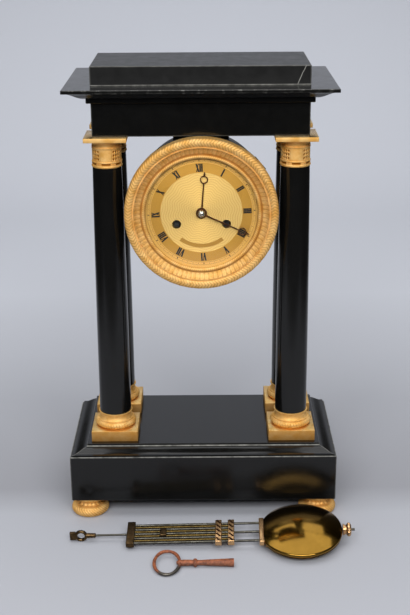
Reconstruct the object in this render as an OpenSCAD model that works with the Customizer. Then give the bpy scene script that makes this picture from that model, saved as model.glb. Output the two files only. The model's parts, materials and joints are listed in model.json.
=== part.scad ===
// Portico clock: a black marble case on four columns with gilt mounts, a round striking
// movement in a drum under the frieze, and its gridiron pendulum and key lying in front.
// Frame: +Z up, the dial faces -Y, origin on the floor midway between the columns. Millimetres.

/* [Base] */
// Height of the base block
base_h = 46; // [30:0.5:70]
// Flat ledge round the moulded top of the base
ledge = 1.8; // [1:0.1:4]
// Level run of the base moulding
moulding_run = 13.2; // [8:0.1:16]
// Upright fillet at the foot of the base moulding
moulding_fillet = 0.8; // [0.4:0.1:1.5]
// Height of the base moulding
moulding_h = 4.9; // [2.5:0.1:6]
// Upright edge of the slab on top of the moulding
slab_edge = 2; // [1:0.1:6]
// Slab left bare outside the column bases, at the front and sides
slab_margin = 4.5; // [3:0.05:12]
// Slab left bare behind the rear column bases, up to the base's flat back
back_margin = 0.5; // [0.3:0.1:6]

/* [Feet] */
// Diameter of a bun foot
foot_d = 36; // [30:0.2:40]
// Height of a foot
foot_h = 18.5; // [16:0.5:26]
// Height of the gadrooned bun
foot_bun_h = 9.6; // [7:0.1:11]
// Diameter of the neck above the bun
foot_neck_d = 20; // [14:0.5:24]
// Diameter of the foot's top plate
foot_cap_d = 29; // [22:0.5:34]
// Thickness of the foot's top plate
foot_cap_h = 3; // [2:0.1:4]
// From the base's front and side faces in to the centre of a foot
foot_inset = 16; // [15:0.2:24]

/* [Columns] */
// Spacing of the column centres, front to back
col_span_y = 63; // [60:0.5:80]
// Play between the bezel's edge and the foot of a shaft
shaft_gap = 0.4; // [0.3:0.05:6]
// Shaft diameter at the foot
shaft_d = 30; // [26:0.2:34]
// Shaft diameter at the neck
neck_d = 25.6; // [20:0.2:26]
// Swell of the shaft at half height, on the radius
entasis = 0.5; // [0:0.05:1]
// Length of a shaft
shaft_len = 239; // [200:0.2:280]
// Side of the square plinth under a column
plinth_w = 44; // [38:0.1:48]
// Height of the plinth
plinth_h = 10.4; // [8:0.1:16]
// Diameter of the leaf torus on the plinth
torus_d = 39.2; // [36:0.1:40]
// Height of the leaf torus
torus_h = 6.4; // [5:0.1:8]
// Height of the hollow above the leaf torus
scotia_h = 4.2; // [3:0.1:6]
// Diameter of the upper ring of a column base
ring_d = 34; // [33:0.1:36]
// Height of the upper ring
ring_h = 3.9; // [3:0.1:5]
// Diameter of the capital's beaded collar
collar_d = 27.8; // [26.5:0.1:30]
// Height of the capital's beaded collar
collar_h = 6.2; // [4:0.1:8]
// Diameter of the chased drum of a capital
cap_drum_d = 26.8; // [25:0.1:27.5]
// Height of the chased drum of a capital
cap_drum_h = 13.4; // [10:0.1:18]
// Height of the hollow under the abacus
cavetto_h = 4.9; // [3:0.1:7]
// Diameter of the hollow where it meets the abacus
cavetto_d = 32; // [30:0.2:36]
// Side of the square abacus
abacus_w = 38; // [36.5:0.1:44]
// Height of the abacus
abacus_h = 4.1; // [3:0.1:6]
// Diameter of the iron tie rod in each column
tie_rod_d = 5; // [4:0.1:6]
// Room round a tie rod in the marble and bronze
rod_clear = 0.4; // [0.2:0.05:1]
// Width across the corners of a tie rod nut
nut_d = 11; // [9.5:0.1:12]
// Thickness of a tie rod nut
nut_h = 4; // [3:0.1:6]
// Running fit of shafts, pins and nuts, on the radius
fit = 0.05; // [0.02:0.01:0.09]

/* [Entablature] */
// Height of the frieze
frieze_h = 30; // [20:0.5:40]
// How far the abacus stands past the frieze
frieze_setback = 7.25; // [4:0.05:9]
// Fillet between frieze and cornice, on each side
fillet_out = 3.8; // [2:0.1:6]
// Height of that fillet
fillet_h = 4.4; // [3:0.1:6]
// Level run of the cornice's ogee
ogee_run = 19; // [14:0.1:24]
// Height of the cornice's ogee
ogee_h = 7; // [5:0.1:10]
// Upright edge of the cornice
cornice_edge = 3.2; // [2:0.1:5]
// Height of the attic block
attic_h = 17; // [12:0.5:26]

/* [Clock head] */
// How much wider the bezel is than the movement's plates
bezel_over = 38.2; // [36:0.2:42]
// Depth of the bezel, back to crest
bezel_t = 13.4; // [12.5:0.1:15]
// Width of the bezel's round outer band
band_w = 7.7; // [6:0.1:8.5]
// Lap of the bezel past the drum's flange, on the radius
bezel_lap = 1.6; // [1:0.1:2.5]
// Stand-off of the bezel's seat in front of the frieze
bezel_proud = 1.5; // [1:0.1:4]
// Gap between the drum's flange and the frieze above it
flange_gap = 0.7; // [0.4:0.1:2]
// Length of the drum's wide flange
flange_len = 12; // [9:0.2:16]
// Wall of the drum
drum_wall = 2.5; // [1.5:0.1:3]
// Room between the plates' edge and the drum
plate_room = 7.5; // [6:0.1:7.6]
// Drum left open behind the back plate
rear_room = 12; // [8:0.2:18]
// Angle of the bezel's hinge above the horizontal
hinge_angle = 40; // [35:1:45]
// Radius of the hinge's knuckles
knuckle_r = 1.4; // [1.2:0.05:1.5]
// Length of the bezel's knuckle
knuckle_len = 6; // [4:0.1:8]
// Gap between knuckles
knuckle_gap = 0.2; // [0.15:0.05:0.4]
// Radius of the hinge pin
pin_r = 0.6; // [0.5:0.05:0.7]
// Length of the saddle block over the drum
saddle_len = 36; // [24:1:44]
// Width of the saddle block
saddle_w = 50; // [48:1:64]
// Spacing of the saddle's screws
screw_span = 36; // [30:1:40]
// Diameter of a saddle screw
screw_d = 4; // [3:0.1:5]
// Diameter of a saddle screw's head
screw_head_d = 8; // [7:0.1:10]
// Thickness of a saddle screw's head
screw_head_h = 3; // [2:0.1:4]

/* [Dial and hands] */
// How much wider the dial is than the movement's plates
dial_over = 6; // [5:0.2:7]
// Thickness of the dial
dial_t = 1.5; // [1:0.1:2]
// Width of the dial's edge behind the bezel's milled ring
sight_lap = 2.6; // [2:0.1:4]
// From the dial's edge to the raised chapter ring
chapter_lap = 7.3; // [6:0.1:10]
// Width of the raised chapter ring
chapter_w = 8.9; // [7:0.1:10]
// Height of the chapter ring above the dial
chapter_rise = 0.3; // [0.2:0.05:0.5]
// Rise of the dial's seat in front of the flange
dial_seat = 1.5; // [1:0.1:2]
// Radius of a winding hole
wind_hole_r = 4.1; // [3.6:0.1:5]
// Thickness of a hand
hand_t = 0.6; // [0.4:0.05:0.8]
// Gap between the dial and the hour hand
hand_gap = 0.9; // [0.7:0.1:1.2]
// How far the hour hand stops short of the dial's edge
hour_short = 15; // [11:0.2:19]
// How far the minute hand stops short of the dial's edge
minute_short = 5.6; // [4.6:0.1:9]
// Outside diameter of the ring in a hand
moon_d = 7.3; // [6:0.1:8]
// Width of a hand's stem
stem_w = 1; // [0.8:0.1:1.4]
// Hour hand's place, clockwise from upright
hour_angle = 4.6; // [0:0.1:30]
// Minute hand's place, clockwise from upright
minute_angle = 114.6; // [60:0.1:160]
// Radius of the domed boss that holds the hands
boss_r = 3.5; // [3:0.1:4]
// Height of that boss
boss_h = 3; // [2:0.1:3.4]
// Thickness of the glass
glass_t = 1; // [0.8:0.1:1.4]
// Rise of the glass at its middle
glass_rise = 3.4; // [3:0.1:5]
// Gap between the minute hand and the glass's edge
glass_gap = 0.5; // [0.4:0.1:1]

/* [Movement] */
// Diameter of the movement's plates
plate_d = 100; // [98:0.5:102]
// Thickness of a plate
plate_t = 2.5; // [2:0.1:3]
// Room between the plates
plate_gap = 38.5; // [38:0.5:44]
// Room between the dial and the front plate
motion_room = 12; // [11:0.5:14]
// Radius of a plate pillar
pillar_r = 2.5; // [2:0.1:3]
// Spacing of the winding squares
wind_span = 44.8; // [43:0.1:47]
// Drop of the winding squares below the dial's centre
wind_drop = 10.7; // [9:0.1:12]
// Side of a winding square
square_w = 4.4; // [4:0.1:4.6]
// Radius of a barrel's arbor
barrel_arbor_r = 3.2; // [3.1:0.05:3.4]
// Room left between a barrel's pitch circle and the mid line
barrel_room = 3.2; // [2.8:0.1:4]
// Length of a barrel
barrel_len = 26; // [22:0.5:27]
// Radius of a train arbor
arbor_r = 0.9; // [0.8:0.05:1]
// Radius of the centre arbor
centre_r = 1.5; // [1.4:0.05:1.6]
// Thickness of a train wheel
wheel_t = 1.2; // [1:0.1:1.4]
// Tooth module of the intermediate wheel
mid_module = 0.4; // [0.39:0.005:0.42]
// Tooth module of the centre wheel
centre_module = 0.36; // [0.35:0.005:0.37]
// Tooth module of the third wheel
third_module = 0.3; // [0.29:0.005:0.31]
// Direction of the third arbor from the centre
third_angle = 120; // [115:1:125]
// Radius of the escape wheel
escape_r = 8; // [7:0.1:8.5]
// Height of the pallets' arbor above the escape wheel's
anchor_rise = 12; // [11.5:0.1:13]
// Swing room between the pallets and the escape wheel
pallet_room = 1; // [0.9:0.05:1.3]
// Distance of the minute wheel's stud from the centre
motion_span = 14; // [13.6:0.1:14.4]
// Radius of the count wheel
count_r = 14; // [12:0.2:15]
// Radius of the bell, as a share of the plates' diameter
bell_share = 0.36; // [0.32:0.005:0.37]
// Depth of the bell
bell_depth = 18; // [14:0.5:22]
// Thickness of the bell
bell_t = 1.8; // [1.2:0.1:2.4]
// Room for the pendulum between the back plate and the bell
swing_room = 18; // [16:0.5:22]
// Drop of the bell below the dial's centre
bell_drop = 8; // [6:0.5:10]

/* [Pendulum] */
// Diameter of the bob
bob_d = 76; // [66:0.2:80]
// Thickness of the bob
bob_t = 24; // [18:0.5:28]
// Thickness of the bob's rim
bob_rim = 4; // [3.4:0.1:5]
// Gap between the base and the lying bob
bob_gap = 9.5; // [5:0.5:14]
// Place of the lying bob across the front
bob_x = 89.6; // [80:0.2:100]
// Roll of the lying pendulum towards the front
roll = 7; // [4:0.5:13]
// Turn of the lying pendulum on the floor
yaw = 1.2; // [0:0.1:3]
// From the bob's centre to the eye at the top
eye_dist = 203.3; // [190:0.1:215]
// Outside diameter of the eye
eye_d = 11.6; // [10:0.1:13]
// Hole in the eye
eye_hole = 7; // [6:0.1:8]
// Thickness of the eye
eye_t = 3; // [2.4:0.1:3.6]
// Length of the hook block past the eye
hook_len = 5.6; // [4:0.1:8]
// Width of the hook block
hook_w = 5.2; // [4:0.1:7]
// Length of the cone below the eye
cone_len = 9; // [7:0.1:12]
// From the bob's centre to the grid's top bar
grid_dist = 157; // [150:0.2:162]
// Width of the grid's bars
grid_w = 32; // [29:0.2:34]
// Thickness of the grid's bars
bar_t = 5.4; // [4.6:0.1:6]
// Length of the top bar along the pendulum
top_bar_len = 7.4; // [5:0.1:9]
// Length of a collar along the pendulum
collar_len = 6; // [4:0.1:7]
// From the bob's centre to the upper collar
upper_collar = 76; // [72:0.2:80]
// From the bob's centre to the lower collar
lower_collar = 64.4; // [60:0.2:66]
// From the bob's centre to the small inner collar
inner_collar = 127; // [110:0.2:135]
// Length of the yoke along the pendulum
yoke_len = 4.6; // [3:0.1:6]
// Width of the yoke at the bob
yoke_w = 35; // [32:0.2:40]
// Diameter of a grid rod
grid_rod_d = 2.4; // [2:0.05:2.6]
// Spacing of the grid rods
grid_pitch = 3.2; // [2.9:0.05:3.3]
// Diameter of the rating nut's knurled flange
rating_d = 12.5; // [10:0.1:14]
// Thickness of the rating nut's flange
rating_t = 4.5; // [3:0.1:6]
// Length of the rating nut's neck
rating_neck = 3.4; // [2:0.1:5]
// Thread left past the rating nut
thread_end = 3.4; // [2:0.1:6]

/* [Key] */
// Length of the key's shank
key_len = 50; // [40:0.5:60]
// Width of the key's bow along the shank
bow_w = 26; // [20:0.2:28]
// Height of the key's bow across the shank
bow_h = 35; // [30:0.2:40]
// Thickness of the bow's wire
bow_wire = 3.2; // [2.6:0.1:4]
// Radius of the key's barrel
key_r = 3.9; // [3.6:0.1:4.4]
// Radius of the key's stem
key_stem_r = 2.4; // [2:0.1:3]
// Side of the key's socket
socket_w = 4.8; // [4.7:0.05:5]
// Depth of the key's socket
socket_depth = 12; // [8:0.5:16]
// From the key to the pendulum's axis
key_gap = 39.5; // [38:0.5:60]
// Place of the key's tip across the front
key_x = 27; // [10:0.5:40]

/* [Hidden] */

MARBLE = "#1c1c1d";
GILT = "#d8a648";
BRASS = "#b8963c";
STEEL = "#8c8f92";
IRON = "#5a5350";
BLUED = "#4a2d18";
GLASS = "#dfe8ea55";
RUST = "#9a5a2a";
$fn = 64;
eps = 0.02;

// Plan of the case: the bezel sets the columns, and they set the base and the entablature
bezel_r = (plate_d + bezel_over) / 2;
col_x = bezel_r + shaft_gap + shaft_d / 2;
col_y = col_span_y / 2;
slab_hw = col_x + plinth_w / 2 + slab_margin;
slab_front = col_y + plinth_w / 2 + slab_margin;
base_hw = slab_hw + moulding_run + ledge;
base_front = slab_front + moulding_run + ledge;
base_back = col_y + plinth_w / 2 + back_margin;
frieze_hw = col_x + abacus_w / 2 - frieze_setback;
frieze_hd = col_y + abacus_w / 2 - frieze_setback;
span = 4 * (base_hw + base_front);

// Levels of the case
base_z = foot_h;
moulding_z = base_z + base_h;
slab_z = moulding_z + moulding_h + slab_edge;
col_base_h = plinth_h + torus_h + scotia_h + ring_h;
shaft_z = slab_z + col_base_h;
cap_z = shaft_z + shaft_len;
cap_h = collar_h + cap_drum_h + cavetto_h + abacus_h;
frieze_z = cap_z + cap_h;
cornice_z = frieze_z + frieze_h;
cornice_h = fillet_h + ogee_h + cornice_edge;
attic_z = cornice_z + cornice_h;
rod_bore = tie_rod_d + 2 * rod_clear;
nut_room = nut_h + 2 * rod_clear;

// Clock head: places along the axis, front to back
flange_r = bezel_r - bezel_lap;
drum_r = plate_d / 2 + plate_room + drum_wall;
axis_z = frieze_z - flange_r - flange_gap;
head_y = -(frieze_hd + bezel_proud);
dial_back = head_y - dial_seat;
dial_y = dial_back - dial_t;
hour_y = dial_y - chapter_rise - hand_gap;
minute_y = hour_y - hand_t - hand_gap;
glass_y = minute_y - hand_t - glass_gap;
lip_y = glass_y - glass_t - fit;
crest_y = head_y - bezel_t;
dial_r = (plate_d + dial_over) / 2;
sight_r = dial_r - sight_lap;
chapter_out = dial_r - chapter_lap;
chapter_in = chapter_out - chapter_w;
hour_len = dial_r - hour_short;
minute_len = dial_r - minute_short;
dial_room = 0.2;
seat_w = 5;
bezel_room = 0.8;
seat_out = dial_r + dial_room;
seat_in = dial_r - seat_w;
bezel_bore = seat_out + bezel_room;
milled_w = bezel_bore - sight_r;
hinge_r = bezel_r - knuckle_r;
hinge_y = head_y + knuckle_r + knuckle_gap / 2;
hinge_side = knuckle_len * 2 / 3;
hinge_off = knuckle_len / 2 + knuckle_gap + hinge_side / 2;
front_y = dial_back + motion_room;
train_y = front_y + plate_t;
back_y = train_y + plate_gap;
rear_y = back_y + plate_t;
drum_end = rear_y + rear_room;
saddle_back = 6;
screw_end = 2;
saddle_y = head_y + flange_len + saddle_back;
screw_tip = sqrt(pow(drum_r, 2) - pow(screw_span / 2, 2)) - drum_wall - screw_end;

// Tooth counts, from the barrel to the escape wheel and through the motion work
BARREL_TEETH = 80;
MID_PINION = 12;
MID_TEETH = 72;
CENTRE_PINION = 12;
CENTRE_TEETH = 80;
THIRD_PINION = 8;
THIRD_TEETH = 88;
ESCAPE_PINION = 8;
ESCAPE_TEETH = 35;
CANNON_TEETH = 14;
MINUTE_TEETH = 42;
MINUTE_PINION = 10;
HOUR_TEETH = 40;

// Arbors, as places from the dial's centre
wind_x = wind_span / 2;
centre_at = [0, 0];
going_at = [wind_x, -wind_drop];
strike_at = [-wind_x, -wind_drop];
barrel_module = 2 * (wind_x - barrel_room) / BARREL_TEETH;
mid_at = meet(centre_at, pitch_r(MID_TEETH + CENTRE_PINION, mid_module),
    going_at, pitch_r(BARREL_TEETH + MID_PINION, barrel_module));
third_at = pitch_r(CENTRE_TEETH + THIRD_PINION, centre_module) * [cos(third_angle), sin(third_angle)];
escape_span = pitch_r(THIRD_TEETH + ESCAPE_PINION, third_module);
escape_at = [0, third_at[1] + sqrt(pow(escape_span, 2) - pow(third_at[0], 2))];
anchor_at = escape_at + [0, anchor_rise];
minute_at = [0, -motion_span];
cannon_module = 2 * motion_span / (CANNON_TEETH + MINUTE_TEETH);
hour_module = 2 * motion_span / (MINUTE_PINION + HOUR_TEETH);
bell_r = plate_d * bell_share;
hammer_room = 4;
hammer_up = 0.14;
hammer_w = 3;
hammer_head = 6;
count_room = 4;
count_up = 0.08;
hammer_at = [-(bell_r + hammer_room), plate_d * hammer_up];
count_at = [hammer_at[0] + count_r + count_room, plate_d * count_up];
bell_at = [0, -bell_drop];
stand_at = [bell_r, -bell_drop - bell_r / 2];
pillar_place = plate_d / 2 - 2 * pillar_r + 0.5;
PILLARS = [50, 130, 236, 304];
DIAL_FEET = [30, 150, 210, 330];
foot_place = seat_in - 3;
stand_r = 2.2;
stand_foot_r = 4;
stand_t = 3;
bell_stud_r = 2;
cock_w = 10;
cock_h = 6;
cock_rise = 4.2;
blade_w = 5;
blade_t = 0.4;
blade_len = 10;
block_w = 8;
block_h = 2;
stud_r = 1.2;
cannon_r = 2.3;
hour_pipe_r = 3.2;
side_play = 0.3;

// Levels of the train between the plates
mid_y = train_y + 1.5;
barrel_y = mid_y + wheel_t + 1.8;
centre_y = barrel_y + barrel_len + 1.5;
third_y = centre_y + wheel_t + 1.3;
escape_y = centre_y - 8;
cannon_y = front_y - 2.2;
hour_wheel_y = cannon_y - wheel_t - 1.8;
bell_y = rear_y + swing_room;

// The pendulum as it lies: on the bob, and on the near corner of the top bar or on the eye
bob_r = bob_d / 2;
cap_rise = (bob_t - bob_rim) / 2;
cap_sphere = (pow(bob_r, 2) + pow(cap_rise, 2)) / (2 * cap_rise);
bob_drop = cap_sphere - (cap_sphere - bob_t / 2) * cos(roll);
eye_drop = eye_d / 2 * cos(roll) + eye_t / 2 * sin(roll);
bar_drop = grid_w / 2 * sin(roll) + bar_t / 2 * cos(roll);
pitch = asin(min((bob_drop - eye_drop) / eye_dist, (bob_drop - bar_drop) / (grid_dist + top_bar_len / 2)));
bob_y = -(base_front + bob_gap + bob_r);
floor_gap = 0.12;
rod_inset = 0.6;
grid_top = -grid_dist - top_bar_len / 2 + rod_inset;
grid_end = -lower_collar + collar_len / 2 - rod_inset;
yoke_lap = 0.6;
GRID = [-4, -3, -2, -1, 0, 1, 2, 3, 4];

// The key as it lies: on its barrel and collar, rolled until the bow's near side is down
bow_x = -(key_len + bow_w / 2 - bow_wire);
key_roll = asin((key_r - bow_wire / 2) / (bow_h / 2));
key_y = bob_y - key_gap;

// Pitch radius of a wheel, or centre distance of a pair whose teeth are added up
function pitch_r(teeth, module_mm) = teeth * module_mm / 2;

// Upper point at distance ra from a and rb from b
function meet(a, ra, b, rb) =
    let (d = norm(b - a),
         turn = acos((ra * ra + d * d - rb * rb) / (2 * ra * d)),
         way = atan2(b[1] - a[1], b[0] - a[0]) + turn)
    a + ra * [cos(way), sin(way)];

// Direction from one arbor to another
function way_to(a, b) = atan2(b[1] - a[1], b[0] - a[0]);

// Tooth phases of a meshing pair: the driver points a tooth at the follower's gap
function gap_phase(a, b, teeth) = way_to(a, b) + 180 - 180 / teeth;

// Points along an arc
function arc(c, r, from, to, n = 10) =
    [for (i = [0 : n]) let (a = from + (to - from) * i / n) c + r * [cos(a), sin(a)]];

// Points along a curve that is level at both ends
function ogee(a, b, n = 10) =
    [for (i = [0 : n]) let (t = i / n)
        [a[0] + (b[0] - a[0]) * t, a[1] + (b[1] - a[1]) * (1 - cos(180 * t)) / 2]];

// Points along a curve that is upright at both ends
function swan(a, b, n = 10) =
    [for (i = [0 : n]) let (t = i / n)
        [a[0] + (b[0] - a[0]) * (1 - cos(180 * t)) / 2, a[1] + (b[1] - a[1]) * t]];

// Outline of a toothed wheel with play between the teeth
function teeth_outline(teeth, module_mm, phase, tip = 0.24, root = 0.56, add = 0.72, ded = 1.05) =
    let (r = pitch_r(teeth, module_mm), step = 360 / teeth)
    [for (i = [0 : teeth - 1], p = [[-1, 0], [-1, 1], [1, 1], [1, 0]])
        let (a = phase + i * step + p[0] * (p[1] ? tip : root) * step / 2,
             d = p[1] ? r + add * module_mm : r - ded * module_mm)
        d * [cos(a), sin(a)]];

// Radius of a twelve-sided bore that clears a round of radius r
function bore12(r) = (r + fit) / cos(15);

// A rectangular block whose sides follow an outline of [overhang, height] points, with a flat
// back where one is given
module moulded(outline, hw, hd, flat_back = undef) {
    near = function (h) [for (p = outline) [-h - p[0], p[1]]];
    far = function (h) [for (i = [len(outline) - 1 : -1 : 0]) [h + outline[i][0], outline[i][1]]];
    back = is_undef(flat_back) ? far(hd)
        : [[flat_back, outline[len(outline) - 1][1]], [flat_back, outline[0][1]]];
    intersection() {
        rotate([90, 0, 0]) linear_extrude(span, center = true) polygon(concat(near(hw), far(hw)));
        rotate([90, 0, 90]) linear_extrude(span, center = true) polygon(concat(near(hd), back));
    }
}

// Solid turned about the clock's own axis, from [radius, y] points
module turned_y(outline, at = [0, 0]) {
    translate([at[0], 0, axis_z + at[1]]) rotate([-90, 0, 0]) rotate_extrude() polygon(outline);
}

// Round bar along the clock's axis from y0 to y1
module bar_y(at, r, y0, y1, sides = 48) {
    translate([at[0], y0, axis_z + at[1]]) rotate([-90, 0, 0]) cylinder(r = r, h = y1 - y0, $fn = sides);
}

// Flat shape in the dial's plane, extruded from y0 towards the front by t
module flat_y(at, y0, t) {
    translate([at[0], y0, axis_z + at[1]]) rotate([90, 0, 0]) linear_extrude(t) children();
}

// Places children at a point on the clock face's rim, +X outwards
module on_rim(angle) {
    translate([0, 0, axis_z]) rotate([0, -angle, 0]) children();
}

// Upright bore for a tie rod at every column
module tie_bores(z0, h, d) {
    for (sx = [-1, 1], sy = [-1, 1])
        translate([sx * col_x, sy * col_y, z0]) cylinder(d = d, h = h);
}

module base_block() {
    color(MARBLE) difference() {
        translate([-base_hw, -base_front, base_z]) cube([2 * base_hw, base_front + base_back, base_h]);
        tie_bores(base_z - 1, base_h + 2, rod_bore);
        tie_bores(base_z - 1, nut_room + 1, nut_d + 4 * rod_clear);
    }
}

module base_top() {
    outline = concat([[moulding_run, moulding_z], [moulding_run, moulding_z + moulding_fillet]],
        ogee([moulding_run - moulding_fillet, moulding_z + moulding_fillet], [0, moulding_z + moulding_h]),
        [[0, slab_z]]);
    color(MARBLE) difference() {
        moulded(outline, slab_hw, slab_front, base_back);
        tie_bores(moulding_z - 1, slab_z - moulding_z + 2, rod_bore);
    }
}

module foot(sx, sy) {
    bun = foot_bun_h / 2;
    neck_z = foot_bun_h + (foot_h - foot_cap_h - foot_bun_h) / 2;
    outline = concat([[0, 0]], arc([foot_d / 2 - bun, bun], bun, -90, 90),
        swan([foot_d / 2 - bun - 1, foot_bun_h], [foot_neck_d / 2, neck_z], 5),
        swan([foot_neck_d / 2, neck_z + 0.2], [foot_cap_d / 2 - 1, foot_h - foot_cap_h], 5),
        [[foot_cap_d / 2, foot_h - foot_cap_h], [foot_cap_d / 2, foot_h], [0, foot_h]]);
    y = sy < 0 ? foot_inset - base_front : base_back - back_margin - foot_d / 2;
    color(GILT) translate([sx * (base_hw - foot_inset), y, 0])
        rotate_extrude() polygon(outline);
}

module column_base(sx, sy) {
    t = torus_h / 2;
    g = ring_h / 2;
    scotia_z = plinth_h + torus_h;
    ring_z = scotia_z + scotia_h;
    outline = concat([[0, plinth_h]], arc([torus_d / 2 - t, plinth_h + t], t, -90, 90),
        [[torus_d / 2 - t + 0.6, scotia_z], [torus_d / 2 - t + 0.6, scotia_z + 0.8]],
        swan([ring_d / 2 - 1, scotia_z + 0.9], [ring_d / 2 - 1.6, ring_z - 0.4], 5),
        arc([ring_d / 2 - g, ring_z + g], g, -90, 60, 7),
        [[shaft_d / 2 + 0.5, ring_z + ring_h], [0, ring_z + ring_h]]);
    color(GILT) translate([sx * col_x, sy * col_y, slab_z]) difference() {
        union() {
            translate([-plinth_w / 2, -plinth_w / 2, 0]) cube([plinth_w, plinth_w, plinth_h]);
            rotate_extrude() polygon(outline);
        }
        translate([0, 0, -1]) cylinder(d = rod_bore, h = col_base_h + 2);
    }
}

module column(sx, sy) {
    steps = 8;
    side = [for (i = [0 : steps]) let (t = i / steps)
        [shaft_d / 2 + (neck_d - shaft_d) / 2 * t + entasis * sin(180 * t), shaft_len * t]];
    color(MARBLE) translate([sx * col_x, sy * col_y, shaft_z]) difference() {
        rotate_extrude() polygon(concat([[0, 0]], side, [[0, shaft_len]]));
        translate([0, 0, -1]) cylinder(d = rod_bore, h = shaft_len + 2);
    }
}

module capital(sx, sy) {
    bead = collar_h / 4;
    drum_z = collar_h;
    hollow_z = drum_z + cap_drum_h;
    abacus_z = hollow_z + cavetto_h;
    outline = concat([[0, 0]], arc([collar_d / 2 - bead, bead], bead, -90, 90, 6),
        arc([collar_d / 2 - bead, 3 * bead], bead, -90, 90, 6),
        [[cap_drum_d / 2, drum_z], [cap_drum_d / 2, hollow_z]],
        swan([cap_drum_d / 2 - 0.4, hollow_z], [cavetto_d / 2, abacus_z], 6), [[0, abacus_z]]);
    color(GILT) translate([sx * col_x, sy * col_y, cap_z]) difference() {
        union() {
            rotate_extrude() polygon(outline);
            translate([-abacus_w / 2, -abacus_w / 2, abacus_z]) cube([abacus_w, abacus_w, abacus_h]);
        }
        translate([0, 0, -1]) cylinder(d = rod_bore, h = cap_h + 2);
    }
}

module tie_rods() {
    color(IRON) tie_bores(base_z + rod_clear, cornice_z - base_z - 2 * rod_clear, tie_rod_d);
}

module tie_rod_nuts() {
    color(IRON) for (sx = [-1, 1], sy = [-1, 1], z = [base_z + nut_room - nut_h, cornice_z - nut_room])
        translate([sx * col_x, sy * col_y, z]) difference() {
            cylinder(d = nut_d, h = nut_h, $fn = 6);
            translate([0, 0, -1]) cylinder(d = tie_rod_d + 2 * fit, h = nut_h + 2);
        }
}

module frieze() {
    color(MARBLE) difference() {
        translate([-frieze_hw, -frieze_hd, frieze_z]) cube([2 * frieze_hw, 2 * frieze_hd, frieze_h]);
        tie_bores(frieze_z - 1, frieze_h + 2, rod_bore);
        tie_bores(cornice_z - nut_room, nut_room + 1, nut_d + 4 * rod_clear);
        at_screws() {
            translate([0, 0, frieze_z - 1]) cylinder(d = screw_d + 2 * rod_clear, h = frieze_h + 2);
            translate([0, 0, cornice_z - screw_head_h - rod_clear])
                cylinder(d = screw_head_d + 2 * rod_clear, h = frieze_h);
        }
    }
}

module cornice() {
    ogee_z = cornice_z + fillet_h;
    edge_z = ogee_z + ogee_h;
    ogee_out = fillet_out + ogee_run;
    edge_out = ogee_out + 0.4;
    outline = concat([[fillet_out, cornice_z], [fillet_out, ogee_z]],
        ogee([fillet_out + eps, ogee_z], [ogee_out, edge_z]),
        [[edge_out, edge_z], [edge_out, attic_z]]);
    color(MARBLE) moulded(outline, frieze_hw, frieze_hd);
}

module attic_block() {
    color(MARBLE) translate([-frieze_hw, -frieze_hd, attic_z])
        cube([2 * frieze_hw, 2 * frieze_hd, attic_h]);
}

// Both saddle screws, upright
module at_screws() {
    for (s = [-1, 1]) translate([s * screw_span / 2, saddle_y + saddle_len / 2, 0]) children();
}

module drum_shell() {
    flange_y = head_y + flange_len;
    outline = [[seat_in, dial_back], [seat_out, dial_back], [seat_out, head_y], [flange_r, head_y],
        [flange_r, flange_y], [drum_r, flange_y], [drum_r, drum_end], [drum_r - drum_wall, drum_end],
        [drum_r - drum_wall, flange_y - drum_wall], [flange_r - drum_wall, flange_y - drum_wall],
        [flange_r - drum_wall, head_y + drum_wall], [seat_in, head_y + drum_wall]];
    color(STEEL) difference() {
        union() {
            turned_y(outline);
            at_hinge() for (s = [-1, 1]) translate([0, 0, s * hinge_off])
                cylinder(r = knuckle_r, h = hinge_side, center = true);
        }
        at_hinge() knuckle(knuckle_r + knuckle_gap, knuckle_len + 2 * knuckle_gap);
        hinge_bore(pin_r + fit);
        at_screws() translate([0, 0, axis_z]) cylinder(d = screw_d + 2 * fit, h = drum_r + 1);
    }
}

// The bezel's hinge, hidden behind its rim, with the pin upright
module at_hinge() {
    on_rim(hinge_angle) translate([hinge_r, hinge_y, 0]) children();
}

// Bore or pin along that hinge
module hinge_bore(r, len = 2 * hinge_off + hinge_side) {
    at_hinge() cylinder(r = r, h = len, center = true);
}

// The bezel's knuckle with its root, or the room for them in the flange
module knuckle(r, len) {
    cylinder(r = r, h = len, center = true);
    translate([-r, head_y - hinge_y - eps, -len / 2]) cube([1.6 * r, hinge_y - head_y + eps, len]);
}

module drum_saddle() {
    color(BRASS) difference() {
        translate([-saddle_w / 2, saddle_y, axis_z]) cube([saddle_w, saddle_len, frieze_z - axis_z]);
        bar_y([0, 0], drum_r + fit, saddle_y - 1, saddle_y + saddle_len + 1, 96);
        at_screws() translate([0, 0, axis_z]) cylinder(d = screw_d + 2 * rod_clear, h = frieze_z);
    }
}

module saddle_screws() {
    top_z = cornice_z - rod_clear;
    tip_z = axis_z + screw_tip;
    color(STEEL) at_screws() {
        translate([0, 0, tip_z]) cylinder(d = screw_d, h = top_z - tip_z);
        translate([0, 0, top_z - screw_head_h]) cylinder(d = screw_head_d, h = screw_head_h);
    }
}

module dial() {
    outline = [[hour_pipe_r + 0.8, dial_back], [dial_r, dial_back], [dial_r, dial_y],
        [chapter_out, dial_y], [chapter_out, dial_y - chapter_rise],
        [chapter_in, dial_y - chapter_rise], [chapter_in, dial_y], [hour_pipe_r + 0.8, dial_y]];
    color(GILT) {
        difference() {
            turned_y(outline);
            for (at = [going_at, strike_at]) bar_y(at, wind_hole_r, dial_y - 1, dial_back + 1);
        }
        for (a = DIAL_FEET) bar_y(foot_place * [cos(a), sin(a)], stud_r, dial_back - eps, front_y, 24);
    }
}

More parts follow.
